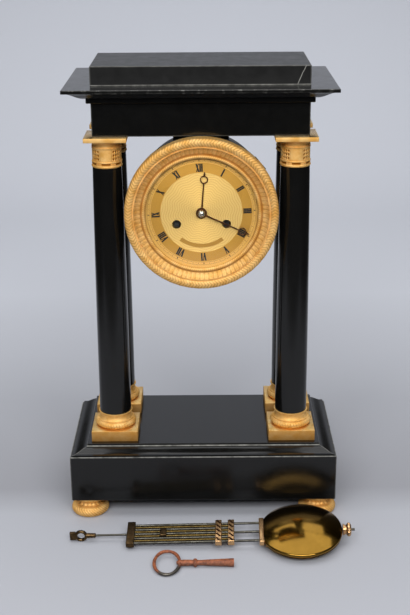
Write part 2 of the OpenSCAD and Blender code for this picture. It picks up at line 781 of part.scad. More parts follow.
module bezel() {
    band = band_w / 2;
    band_y = crest_y + band;
    hollow_r = bezel_r - band_w;
    outline = concat([[bezel_bore, head_y], [bezel_r, head_y]],
        arc([bezel_r - band, band_y], band, 0, -180, 14),
        swan([hollow_r - 0.6, band_y - 1], [bezel_bore + 0.4, lip_y - 0.6], 8),
        arc([bezel_bore - milled_w / 2, lip_y - 0.6], milled_w / 2 - 0.2, 0, -180, 8),
        [[sight_r, lip_y - 0.6], [sight_r, lip_y], [bezel_bore, lip_y]]);
    color(GILT) difference() {
        union() {
            turned_y(outline);
            at_hinge() knuckle(knuckle_r, knuckle_len);
        }
        hinge_bore(pin_r + fit);
    }
}

module bezel_glass() {
    edge = bezel_bore - side_play;
    swell = sight_r - side_play;
    ball = (pow(swell, 2) + pow(glass_rise, 2)) / (2 * glass_rise);
    steps = 10;
    dome = function (y0) concat([for (i = [0 : steps]) let (r = swell * i / steps)
        [r, y0 - glass_rise + ball - sqrt(pow(ball, 2) - r * r)]], [[edge, y0]]);
    inner = dome(glass_y);
    outer = dome(lip_y + fit);
    color(GLASS) turned_y(concat(inner, [for (i = [steps + 1 : -1 : 0]) outer[i]]));
}

module bezel_hinge_pin() {
    color(STEEL) hinge_bore(pin_r);
}

// A hand of thin stem, open ring and point, upwards from its hub
module hand_shape(len, ring_at, hub_r, bore) {
    lap = 0.5;
    half = stem_w / 2;
    root = stem_w * 0.8;
    point_w = stem_w * 1.1;
    tip_w = 0.2;
    stem_end = ring_at - moon_d / 2 + lap;
    point_at = ring_at + moon_d / 2 - lap;
    difference() {
        union() {
            circle(r = hub_r, $fn = 40);
            polygon([[-root, 0], [root, 0], [half, stem_end], [-half, stem_end]]);
            translate([0, ring_at]) circle(d = moon_d, $fn = 40);
            polygon([[-point_w, point_at], [point_w, point_at], [tip_w, len], [-tip_w, len]]);
        }
        translate([0, ring_at]) circle(d = moon_d - 2 * stem_w, $fn = 40);
        circle(r = bore, $fn = 40);
    }
}

module hour_hand() {
    color(BLUED) flat_y(centre_at, hour_y, hand_t) rotate(-hour_angle)
        hand_shape(hour_len, hour_len - moon_d, hour_pipe_r + 1.8, hour_pipe_r + fit);
}

module minute_hand() {
    color(BLUED) flat_y(centre_at, minute_y, hand_t) rotate(-minute_angle)
        hand_shape(minute_len, minute_len - moon_d, cannon_r + 1.8, cannon_r + fit);
}

module hand_boss() {
    boss_y = minute_y - hand_t - fit;
    edge = 0.5;
    dome = [for (p = arc([0, 0], 1, 0, -90, 8))
        [(boss_r - 0.2) * p[0], boss_y - edge + (boss_h - edge) * p[1]]];
    color(STEEL) turned_y(concat([[0, boss_y], [boss_r, boss_y]], dome));
}

// Wheel of teeth between two levels, with a round hole of twelve sides
module wheel(at, teeth, module_mm, phase, y, t, bore = 0) {
    flat_y(at, y + t, t) difference() {
        polygon(teeth_outline(teeth, module_mm, phase));
        if (bore > 0) circle(r = bore, $fn = 12);
    }
}

module cannon_pinion() {
    bore = bore12(centre_r);
    face_y = cannon_y - wheel_t;
    color(STEEL) {
        wheel(centre_at, CANNON_TEETH, cannon_module, way_to(centre_at, minute_at), face_y, wheel_t, bore);
        flat_y(centre_at, face_y + eps, face_y + eps - minute_y + hand_t) difference() {
            circle(r = cannon_r, $fn = 12);
            circle(r = bore, $fn = 12);
        }
    }
}

module minute_wheel() {
    bore = bore12(stud_r);
    phase = gap_phase(centre_at, minute_at, MINUTE_TEETH);
    pinion_y = hour_wheel_y - wheel_t - side_play;
    color(BRASS) {
        wheel(minute_at, MINUTE_TEETH, cannon_module, phase, cannon_y - wheel_t, wheel_t, bore);
        wheel(minute_at, MINUTE_PINION, hour_module, way_to(minute_at, centre_at), pinion_y,
            cannon_y - wheel_t + eps - pinion_y, bore);
    }
}

module hour_wheel() {
    bore = bore12(cannon_r);
    phase = gap_phase(minute_at, centre_at, HOUR_TEETH);
    face_y = hour_wheel_y - wheel_t;
    color(BRASS) {
        wheel(centre_at, HOUR_TEETH, hour_module, phase, face_y, wheel_t, bore);
        flat_y(centre_at, face_y + eps, face_y + eps - hour_y + hand_t) difference() {
            circle(r = hour_pipe_r, $fn = 12);
            circle(r = bore, $fn = 12);
        }
    }
}

// Pivot holes that both plates share
module pivot_holes(y0) {
    y1 = y0 + plate_t;
    bar_y(centre_at, centre_r + fit, y0 - 1, y1 + 1);
    for (at = [going_at, strike_at]) bar_y(at, barrel_arbor_r + fit, y0 - 1, y1 + 1);
    for (at = [mid_at, third_at, escape_at, anchor_at]) bar_y(at, arbor_r + fit, y0 - 1, y1 + 1);
    bar_y(hammer_at, stud_r + fit, y0 - 1, y1 + 1);
}

module front_plate() {
    color(BRASS) {
        difference() {
            bar_y(centre_at, plate_d / 2, front_y, train_y, 96);
            pivot_holes(front_y);
        }
        bar_y(minute_at, stud_r, hour_wheel_y - wheel_t - 1, front_y + eps);
    }
}

module back_plate() {
    color(BRASS) {
        difference() {
            bar_y(centre_at, plate_d / 2, back_y, rear_y, 96);
            pivot_holes(back_y);
        }
        bar_y(count_at, stud_r, rear_y - eps, rear_y + 4);
    }
}

module plate_pillars() {
    color(BRASS) for (a = PILLARS) bar_y(pillar_place * [cos(a), sin(a)], pillar_r, train_y, back_y);
}

module barrel(at, phase) {
    color(BRASS) difference() {
        union() {
            wheel(at, BARREL_TEETH, barrel_module, phase, barrel_y, 2 * wheel_t);
            bar_y(at, pitch_r(BARREL_TEETH, barrel_module) - 1.4, barrel_y, barrel_y + barrel_len, 64);
        }
        bar_y(at, barrel_arbor_r + fit, barrel_y - 1, barrel_y + barrel_len + 1);
    }
}

module barrel_arbor(at) {
    half = square_w / 2;
    color(STEEL) {
        bar_y(at, barrel_arbor_r, front_y - 2, rear_y);
        flat_y(at, front_y - 2 + eps, front_y - 2 + eps - dial_y - 0.4)
            translate([-half, -half]) square(square_w);
    }
}

module going_barrel() {
    barrel(going_at, way_to(going_at, mid_at));
}

module strike_barrel() {
    barrel(strike_at, 0);
}

module going_arbor() {
    barrel_arbor(going_at);
}

module strike_arbor() {
    barrel_arbor(strike_at);
}

// Arbor between the plates, of twelve sides
module train_arbor(at, r) {
    bar_y(at, r, front_y + side_play, rear_y - side_play, 12);
}

module intermediate_wheel() {
    color(BRASS) {
        train_arbor(mid_at, arbor_r);
        wheel(mid_at, MID_TEETH, mid_module, way_to(mid_at, centre_at), mid_y, wheel_t);
        wheel(mid_at, MID_PINION, barrel_module, gap_phase(going_at, mid_at, MID_PINION),
            mid_y, barrel_y + 2 * wheel_t + side_play - mid_y);
    }
}

module centre_arbor() {
    color(BRASS) {
        bar_y(centre_at, centre_r, minute_y - hand_t, rear_y, 12);
        wheel(centre_at, CENTRE_PINION, mid_module, gap_phase(mid_at, centre_at, CENTRE_PINION),
            mid_y - side_play, wheel_t + 2 * side_play);
        wheel(centre_at, CENTRE_TEETH, centre_module, way_to(centre_at, third_at), centre_y, wheel_t);
    }
}

module third_wheel() {
    color(BRASS) {
        train_arbor(third_at, arbor_r);
        wheel(third_at, THIRD_PINION, centre_module, gap_phase(centre_at, third_at, THIRD_PINION),
            centre_y - side_play, third_y - centre_y + side_play + eps);
        wheel(third_at, THIRD_TEETH, third_module, way_to(third_at, escape_at), third_y, wheel_t);
    }
}

module escape_wheel() {
    tooth = 360 / ESCAPE_TEETH;
    color(BRASS) {
        train_arbor(escape_at, arbor_r);
        wheel(escape_at, ESCAPE_PINION, third_module, gap_phase(third_at, escape_at, ESCAPE_PINION),
            third_y - side_play, wheel_t + 2 * side_play);
        flat_y(escape_at, escape_y + wheel_t, wheel_t) polygon([for (i = [0 : ESCAPE_TEETH - 1], p = [0, 1])
            (p ? escape_r : escape_r - 1.3) * [cos((i + p * 0.2) * tooth), sin((i + p * 0.2) * tooth)]]);
    }
}

module anchor() {
    reach = escape_r + pallet_room;
    crutch_y = rear_y + 3;
    crutch_z = 26;
    color(STEEL) {
        bar_y(anchor_at, arbor_r, front_y + side_play, crutch_y + 1.5, 12);
        flat_y(escape_at, escape_y + wheel_t + 0.8, wheel_t + 1.6) {
            difference() {
                circle(r = reach + 2);
                circle(r = reach);
                translate([-2 * reach, -2 * reach]) square([4 * reach, 2 * reach + reach * 0.62]);
            }
            translate([-1.2, reach + 0.5]) square([2.4, anchor_rise - reach]);
        }
        flat_y(anchor_at, crutch_y + 1.5, 1.5) translate([-1, -crutch_z]) square([2, crutch_z + 1.6]);
        for (s = [-1, 1]) bar_y(anchor_at + [s * 2.2, 1 - crutch_z], 0.7, crutch_y, rear_y + 12, 12);
        flat_y(anchor_at, crutch_y + 1.5, 1.5) translate([-2.9, -crutch_z]) square([5.8, 2]);
    }
}

module suspension_cock() {
    blade_y = rear_y + rear_room - 2.5;
    cock_z = axis_z + anchor_at[1] + cock_rise;
    block_z = cock_z - blade_len - block_h / 2;
    color(BRASS) {
        translate([-cock_w / 2, rear_y, cock_z]) cube([cock_w, rear_room - 0.5, cock_h]);
        translate([-blade_w / 2, blade_y, cock_z - blade_len]) cube([blade_w, blade_t, blade_len + eps]);
        translate([-block_w / 2, blade_y - block_h / 2 + blade_t / 2, block_z])
            cube([block_w, block_h, block_h]);
    }
}

module count_wheel() {
    slots = 12;
    color(BRASS) flat_y(count_at, rear_y + 3.2, wheel_t) difference() {
        circle(r = count_r);
        for (i = [0 : slots - 1]) rotate(i * (i + 13) * 360 / (slots * (slots + 12)))
            translate([count_r - 1.6, -0.6]) square([4, 1.2]);
        circle(r = stud_r + fit, $fn = 24);
    }
}

module hammer() {
    half = hammer_w / 2;
    arm_y = bell_y + 1;
    head_z = axis_z - bell_drop;
    color(STEEL) {
        bar_y(hammer_at, stud_r, front_y + side_play, arm_y + hammer_w);
        translate([hammer_at[0] - half, arm_y, head_z])
            cube([hammer_w, hammer_w, hammer_at[1] + bell_drop + half]);
        translate([hammer_at[0] - hammer_head / 2, arm_y + half, head_z]) rotate([0, 90, 0])
            cylinder(r = hammer_w, h = hammer_head);
    }
}

module bell() {
    steps = 12;
    side = function (r, d) [for (i = [0 : steps]) let (a = 90 * i / steps)
        [r * cos(a), bell_y + d * sin(a)]];
    outer = side(bell_r, bell_depth);
    inner = side(bell_r - bell_t, bell_depth - bell_t);
    color(BRASS) difference() {
        turned_y(concat(outer, [for (i = [steps : -1 : 0]) inner[i]]), bell_at);
        bar_y(bell_at, bell_stud_r + fit, bell_y, bell_y + bell_depth + 1);
    }
}

module bell_stand() {
    arm_y = bell_y + bell_depth + fit;
    way = way_to(stand_at, bell_at);
    color(BRASS) {
        bar_y(stand_at, stand_r, rear_y, arm_y + stand_t);
        bar_y(stand_at, stand_foot_r, rear_y, rear_y + stand_t);
        bar_y(bell_at, stand_foot_r, arm_y, arm_y + stand_t);
        bar_y(bell_at, bell_stud_r, arm_y - 2 * bell_t, arm_y + eps);
        flat_y(stand_at, arm_y + stand_t, stand_t) rotate(way)
            translate([0, -stand_r]) square([norm(bell_at - stand_at), 2 * stand_r]);
    }
}

// The pendulum's own frame: +X from the eye to the nut, origin at the bob's centre
module lying() {
    translate([bob_x, bob_y, bob_drop + floor_gap]) rotate([roll, -pitch, -yaw]) children();
}

// Round bar along the pendulum from x0 to x1 at y
module rod_x(x0, x1, r, y = 0) {
    translate([x0, y, 0]) rotate([0, 90, 0]) cylinder(r = r, h = x1 - x0, $fn = 32);
}

module pendulum_hook() {
    neck = -eye_dist + eye_d / 2 - 1;
    color(STEEL) lying() {
        difference() {
            union() {
                translate([-eye_dist, eye_t / 2, 0]) rotate([90, 0, 0]) cylinder(d = eye_d, h = eye_t);
                translate([-eye_dist - eye_d / 2 - hook_len + 1, -eye_t / 2, -hook_w / 2])
                    cube([hook_len, eye_t, hook_w]);
            }
            translate([-eye_dist, eye_t, 0]) rotate([90, 0, 0]) cylinder(d = eye_hole, h = 2 * eye_t);
        }
        translate([neck, 0, 0]) rotate([0, 90, 0]) cylinder(r1 = eye_t * 0.8, r2 = 1.3, h = cone_len);
        rod_x(neck + cone_len - 1, -grid_dist - top_bar_len / 2 - fit, 1);
    }
}

// Place of a grid rod across the pendulum
function rod_at(i) = i * grid_pitch;

module grid_bar(at, len, w, holes, t = bar_t) {
    difference() {
        translate([-at - len / 2, -w / 2, -t / 2]) cube([len, w, t]);
        for (i = holes) rod_x(-at - len, -at + len, grid_rod_d / 2 + fit, rod_at(i));
    }
}

module pendulum_steel_rods() {
    r = grid_rod_d / 2;
    color(STEEL) lying() {
        for (i = [-2, 2]) rod_x(grid_top, grid_end, r, rod_at(i));
        for (i = [-4, 4]) rod_x(grid_top, -bob_r + yoke_len - 1, r, rod_at(i));
        rod_x(grid_top, bob_r + rating_neck + rating_t + thread_end, r);
    }
}

module pendulum_brass_rods() {
    color(BRASS) lying() for (i = [-3, -1, 1, 3]) rod_x(grid_top, grid_end, grid_rod_d / 2, rod_at(i));
}

module pendulum_bars() {
    color(STEEL) lying() {
        grid_bar(grid_dist, top_bar_len, grid_w, GRID);
        grid_bar(inner_collar, collar_len, 3 * grid_pitch, [-1, 0, 1]);
        grid_bar(upper_collar, collar_len, grid_w, GRID);
        grid_bar(lower_collar, collar_len, grid_w, GRID);
        grid_bar(bob_r - yoke_len / 2 + yoke_lap, yoke_len, yoke_w, [-4, 0, 4], bar_t * 0.8);
    }
}

module pendulum_bob() {
    slot = bob_r - yoke_len + yoke_lap - fit;
    cap = arc([0, bob_t / 2 - cap_sphere], cap_sphere, 90, 90 - asin(bob_r / cap_sphere), 12);
    outline = concat(cap, [for (i = [len(cap) - 1 : -1 : 0]) [cap[i][0], -cap[i][1]]]);
    color(BRASS) lying() difference() {
        rotate_extrude($fn = 96) polygon(outline);
        rod_x(-bob_r - 1, bob_r + 1, grid_rod_d / 2 + fit);
        translate([-2 * bob_r - slot, -bob_r, -bob_t]) cube([2 * bob_r, 2 * bob_r, 2 * bob_t]);
    }
}

module rating_nut() {
    x0 = bob_r + side_play;
    color(BRASS) lying() difference() {
        union() {
            rod_x(x0, x0 + rating_neck + eps, 4);
            rod_x(x0 + rating_neck, x0 + rating_neck + rating_t - side_play, rating_d / 2);
        }
        rod_x(0, 2 * bob_r, grid_rod_d / 2 + fit);
    }
}

module winding_key() {
    w = bow_w / 2;
    h = bow_h / 2;
    steps = 48;
    oval = function (in) [for (i = [0 : steps - 1]) let (a = 360 * i / steps)
        [(w - in) * cos(a), (h - in) * sin(a)]];
    barrel_len = 1.2 * socket_depth;
    collar_at = 0.72 * key_len;
    collar_len = 3;
    taper = collar_at - collar_len - barrel_len;
    half = socket_w / 2;
    color(RUST) translate([key_x, key_y, key_r + floor_gap]) rotate([key_roll, 0, 0]) {
        difference() {
            union() {
                rod_x(-key_len, -collar_at + eps, key_stem_r);
                rod_x(-collar_at, -collar_at + collar_len, key_r);
                translate([-barrel_len - taper - eps, 0, 0]) rotate([0, 90, 0])
                    cylinder(r1 = key_stem_r, r2 = key_r, h = taper + 2 * eps, $fn = 32);
                rod_x(-barrel_len, 0, key_r);
            }
            translate([-socket_depth, -half, -half]) cube([socket_depth + 1, socket_w, socket_w]);
        }
        translate([bow_x, 0, -bow_wire / 2]) linear_extrude(bow_wire) difference() {
            polygon(oval(0));
            polygon(oval(bow_wire));
        }
    }
}

base_block();
base_top();
foot(-1, -1);  // foot_front_left
foot(1, -1);  // foot_front_right
foot(-1, 1);  // foot_rear_left
foot(1, 1);  // foot_rear_right
column_base(-1, -1);  // column_base_front_left
column_base(1, -1);  // column_base_front_right
column_base(-1, 1);  // column_base_rear_left
column_base(1, 1);  // column_base_rear_right
column(-1, -1);  // column_front_left
column(1, -1);  // column_front_right
column(-1, 1);  // column_rear_left
column(1, 1);  // column_rear_right
capital(-1, -1);  // capital_front_left
capital(1, -1);  // capital_front_right
capital(-1, 1);  // capital_rear_left
capital(1, 1);  // capital_rear_right
tie_rods();
tie_rod_nuts();
frieze();
cornice();
attic_block();
drum_shell();
drum_saddle();
saddle_screws();
dial();
bezel();
bezel_glass();
bezel_hinge_pin();
hour_hand();
minute_hand();
hand_boss();
cannon_pinion();
minute_wheel();
hour_wheel();
front_plate();
back_plate();
plate_pillars();
going_barrel();
going_arbor();
strike_barrel();
strike_arbor();
intermediate_wheel();
centre_arbor();
third_wheel();
escape_wheel();
anchor();
suspension_cock();
count_wheel();
hammer();
bell();
bell_stand();
pendulum_hook();
pendulum_steel_rods();
pendulum_brass_rods();
pendulum_bars();
pendulum_bob();
rating_nut();
winding_key();
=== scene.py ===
"""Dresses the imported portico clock: black marble, chased ormolu mounts, engraved dial, pendulum and key."""

import json
import logging
import math
from dataclasses import dataclass
from enum import Enum
from functools import cache
from typing import Callable, Optional, Sequence, Union

import bmesh
import bpy
from bmesh.types import BMEdge, BMVert
from bpy.types import Material, Node, NodeSocket
from mathutils import Matrix, Vector


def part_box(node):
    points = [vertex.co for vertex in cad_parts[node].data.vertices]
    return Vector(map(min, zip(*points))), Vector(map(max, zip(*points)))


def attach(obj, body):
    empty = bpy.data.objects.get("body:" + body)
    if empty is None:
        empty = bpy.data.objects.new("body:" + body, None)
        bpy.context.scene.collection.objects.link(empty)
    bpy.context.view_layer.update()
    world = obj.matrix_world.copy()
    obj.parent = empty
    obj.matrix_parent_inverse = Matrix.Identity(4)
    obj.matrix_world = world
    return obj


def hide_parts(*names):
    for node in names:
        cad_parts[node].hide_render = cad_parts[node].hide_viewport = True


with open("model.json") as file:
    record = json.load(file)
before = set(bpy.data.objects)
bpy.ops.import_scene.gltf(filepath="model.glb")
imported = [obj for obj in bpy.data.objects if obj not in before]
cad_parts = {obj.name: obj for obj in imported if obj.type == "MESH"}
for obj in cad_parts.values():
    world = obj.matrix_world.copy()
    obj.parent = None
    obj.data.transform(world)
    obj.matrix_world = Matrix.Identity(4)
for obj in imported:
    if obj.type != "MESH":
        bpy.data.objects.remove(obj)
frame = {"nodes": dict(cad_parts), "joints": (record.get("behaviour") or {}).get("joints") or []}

LOG = logging.getLogger("portico_clock")
MM = 0.001
SHRINK = Matrix.Scale(MM, 4)
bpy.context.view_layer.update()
# The two colour inputs of a Mix node
A, B = 6, 7
# Plain stone starts this many arris widths beside a pale edge of wear and painted highlight
BESIDE = 2.2

Point = tuple[float, float]
Triple = tuple[float, float, float]
Colour = tuple[float, float, float, float]
Relief = Callable[[float, float, float], Point]


class Body(Enum):
    """The moving groups that pieces ride on."""

    CASE = "case"
    DOOR = "bezel_door"
    PENDULUM = "pendulum"
    NUT = "rating_nut_set"
    KEY = "key"


class Slot(Enum):
    """The record's material slot names, listed with each new piece but not used."""

    MARBLE = "black_marble"
    GILT = "gilt_bronze"
    DIAL = "gilt_dial"
    STEEL = "polished_steel"
    BRASS = "movement_brass"
    RUST = "rusty_iron"


class Corner(Enum):
    """The four corners of the portico, as the endings of the node names."""

    FRONT_LEFT = "front_left"
    FRONT_RIGHT = "front_right"
    REAR_LEFT = "rear_left"
    REAR_RIGHT = "rear_right"


def linear(code: str) -> Colour:
    """Turns an sRGB hex colour to linear light.

    Args:
        code: six hex digits after a hash sign.

    Returns:
        Red, green, blue and a full alpha.
    """
    parts = [int(code[i:i + 2], 16) / 255 for i in (1, 3, 5)]
    red, green, blue = (p / 12.92 if p <= 0.04045 else ((p + 0.055) / 1.055) ** 2.4 for p in parts)
    return red, green, blue, 1.0


def per_metre(size_mm: float) -> float:
    """Gives a texture's scale for features of a size in millimetres."""
    return 1000 / size_mm


def add(mat: Material, kind: str, inputs: Optional[dict[Union[str, int], object]] = None,
        **settings: object) -> Node:
    """Adds one shader node with its settings and links.

    Args:
        mat: the material to add it to.
        kind: the node's type, without its common prefix.
        inputs: values, sockets or nodes to link, by input name or number; a node gives its first result.
        settings: the node's own properties.

    Returns:
        The new node.
    """
    made = mat.node_tree.nodes.new(f"ShaderNode{kind}")
    for key, value in settings.items():
        setattr(made, key, value)
    for key, value in (inputs or {}).items():
        if isinstance(value, Node):
            value = next(socket for socket in value.outputs if socket.enabled)
        if isinstance(value, NodeSocket):
            mat.node_tree.links.new(value, made.inputs[key])
        else:
            made.inputs[key].default_value = value
    return made


@dataclass(frozen=True)
class Finish:
    """A surface finish that makes its material once."""

    name: str

    @cache
    def material(self) -> Material:
        """Makes the material the first time it is asked for.

        Returns:
            The material.
        """
        mat = bpy.data.materials.new(self.name)
        mat.use_nodes = True
        mat.node_tree.nodes.clear()
        add(mat, "OutputMaterial", {"Surface": self.paint(mat)})
        return mat

    def paint(self, mat: Material) -> Node:
        """Adds the shader and the nodes behind it.

        Args:
            mat: the new material.

        Returns:
            The shader that the surface takes.
        """
        raise NotImplementedError


@dataclass(frozen=True)
class PolishedMarble(Finish):
    """Polished black marble: near black and glossy, with soft grey clouds; pale, dull edges are wear and
    painted highlight.

    The pale edge, wear and painted highlight alike, shows where the noise of the chips lies over the first
    value of chipped, is full over the second, and keeps the third as its least share.
    """

    name: str = "polished_black_marble"
    deep: str = "#070707"
    cloud: str = "#10100f"
    rubbed: str = "#a5a49d"
    cloud_mm: float = 28.0
    chip_mm: float = 6.0
    smear_mm: float = 11.0
    streak: Optional[tuple[Point, Point]] = None
    streak_mm: float = 0.45
    wander_mm: float = 0.8
    gloss: Point = (0.12, 0.24)
    shine: float = 0.38
    chipped: Triple = (0.34, 0.62, 0.3)

    def paint(self, mat: Material) -> Node:
        """Clouds the colour, smears the gloss and pales edges as wear and painted highlight; see
        Finish.paint.
        """
        at = add(mat, "TexCoord").outputs["Object"]
        clouds = add(mat, "TexNoise", {"Vector": at, "Scale": per_metre(self.cloud_mm), "Detail": 7.0,
                                       "Roughness": 0.62})
        tone = add(mat, "Mix", {"Factor": clouds, A: linear(self.deep), B: linear(self.cloud)},
                   data_type="RGBA")
        worn = add(mat, "Attribute", attribute_name="recess").outputs["Fac"]
        chips = add(mat, "TexNoise", {"Vector": at, "Scale": per_metre(self.chip_mm), "Detail": 6.0,
                                      "Roughness": 0.7})
        low, high, least = self.chipped
        uneven = add(mat, "MapRange", {"Value": chips, "From Min": low, "From Max": high, "To Min": least})
        pale = add(mat, "Math", {0: worn, 1: uneven}, operation="MULTIPLY")
        if self.streak:
            pale = add(mat, "Math", {0: pale, 1: self.vein_mask(mat, at)}, operation="MAXIMUM")
        # The pale colour stands for real wear, chips and glue, and for painted highlight lines along some
        # arrises.
        colour = add(mat, "Mix", {"Factor": pale, A: tone, B: linear(self.rubbed)}, data_type="RGBA")
        smear = add(mat, "TexNoise", {"Vector": at, "Scale": per_metre(self.smear_mm), "Detail": 5.0,
                                      "Roughness": 0.7})
        rough = add(mat, "MapRange", {"Value": smear, "From Min": 0.3, "From Max": 0.75,
                                      "To Min": self.gloss[0], "To Max": self.gloss[1]})
        dull = add(mat, "Math", {0: pale, 1: 0.4, 2: rough}, operation="MULTIPLY_ADD")
        return add(mat, "BsdfPrincipled", {"Base Color": colour, "Roughness": dull, "IOR": 1.5,
                                           "Specular IOR Level": self.shine})

    def vein_mask(self, mat: Material, at: NodeSocket) -> Node:
        """Masks one straight calcite vein that runs through the block and stops short of its top.

        Args:
            mat: the material.
            at: the object coordinates.

        Returns:
            A node that gives nearly 1 on the vein and fades to 0 beside it.
        """
        (x0, z0), (x1, z1) = self.streak
        across = Vector((z1 - z0, x0 - x1)).normalized()
        wander = add(mat, "TexNoise", {"Vector": at, "Scale": per_metre(9), "Detail": 3.0})
        part = add(mat, "VectorMath", {0: at, 1: (across.x, 0, across.y)}, operation="DOT_PRODUCT")
        middle = (x0 * across.x + z0 * across.y) * MM
        off = add(mat, "Math", {0: part.outputs["Value"], 1: middle}, operation="SUBTRACT")
        bent = add(mat, "Math", {0: wander, 1: 2 * self.wander_mm * MM, 2: off}, operation="MULTIPLY_ADD")
        level = add(mat, "Math", {0: bent, 1: self.wander_mm * MM}, operation="SUBTRACT")
        width = add(mat, "Math", {0: level}, operation="ABSOLUTE")
        line = add(mat, "MapRange", {"Value": width, "From Max": self.streak_mm * MM, "To Min": 0.8,
                                     "To Max": 0.0})
        height = add(mat, "SeparateXYZ", {0: at}).outputs["Z"]
        under = add(mat, "Math", {0: height, 1: (z1 - self.streak_mm) * MM}, operation="LESS_THAN")
        return add(mat, "Math", {0: line, 1: under}, operation="MULTIPLY")


@dataclass(frozen=True)
class Ormolu(Finish):
    """Fire-gilt chased bronze: warm gold with a fine matte grain, redder in patches.

    The recess attribute paints shade into the cut hollows; under zero it is a face that the burnisher left
    bright.
    """

    name: str = "ormolu"
    bright: str = "#f4d18e"
    warm: str = "#e7b866"
    hollow: str = "#9c6212"
    gloss: float = 0.66
    spread: float = 0.16
    burnish: float = 0.36
    patch_mm: float = 9.0
    grain_mm: float = 0.5
    grain_deep_mm: float = 0.12

    def paint(self, mat: Material) -> Node:
        """Tones the gold, paints shade into its hollows and adds the matting tool's grain; see Finish.paint.
        """
        at = add(mat, "TexCoord").outputs["Object"]
        patches = add(mat, "TexNoise", {"Vector": at, "Scale": per_metre(self.patch_mm), "Detail": 4.0,
                                        "Roughness": 0.6})
        share = add(mat, "MapRange", {"Value": patches, "From Min": 0.35, "From Max": 0.65})
        gold = add(mat, "Mix", {"Factor": share, A: linear(self.bright), B: linear(self.warm)},
                   data_type="RGBA")
        recess = add(mat, "Attribute", attribute_name="recess").outputs["Fac"]
        # Painted shade: the recess darkens the gold towards brown in cuts, grooves and slots.
        colour = add(mat, "Mix", {"Factor": recess, A: gold, B: linear(self.hollow)}, data_type="RGBA")
        grain = add(mat, "TexNoise", {"Vector": at, "Scale": per_metre(self.grain_mm), "Detail": 3.0})
        matte = add(mat, "MapRange", {"Value": grain, "From Min": 0.3, "From Max": 0.7, "To Min": self.gloss,
                                      "To Max": self.gloss + self.spread})
        polish = add(mat, "MapRange", {"Value": recess, "From Min": -1.0, "From Max": 0.0,
                                       "To Min": self.burnish})
        rough = add(mat, "Math", {0: matte, 1: polish}, operation="MULTIPLY")
        bump = add(mat, "Bump", {"Height": grain, "Strength": 0.35, "Distance": self.grain_deep_mm * MM})
        return add(mat, "BsdfPrincipled", {"Base Color": colour, "Roughness": rough, "Normal": bump,
                                           "Metallic": 1.0})


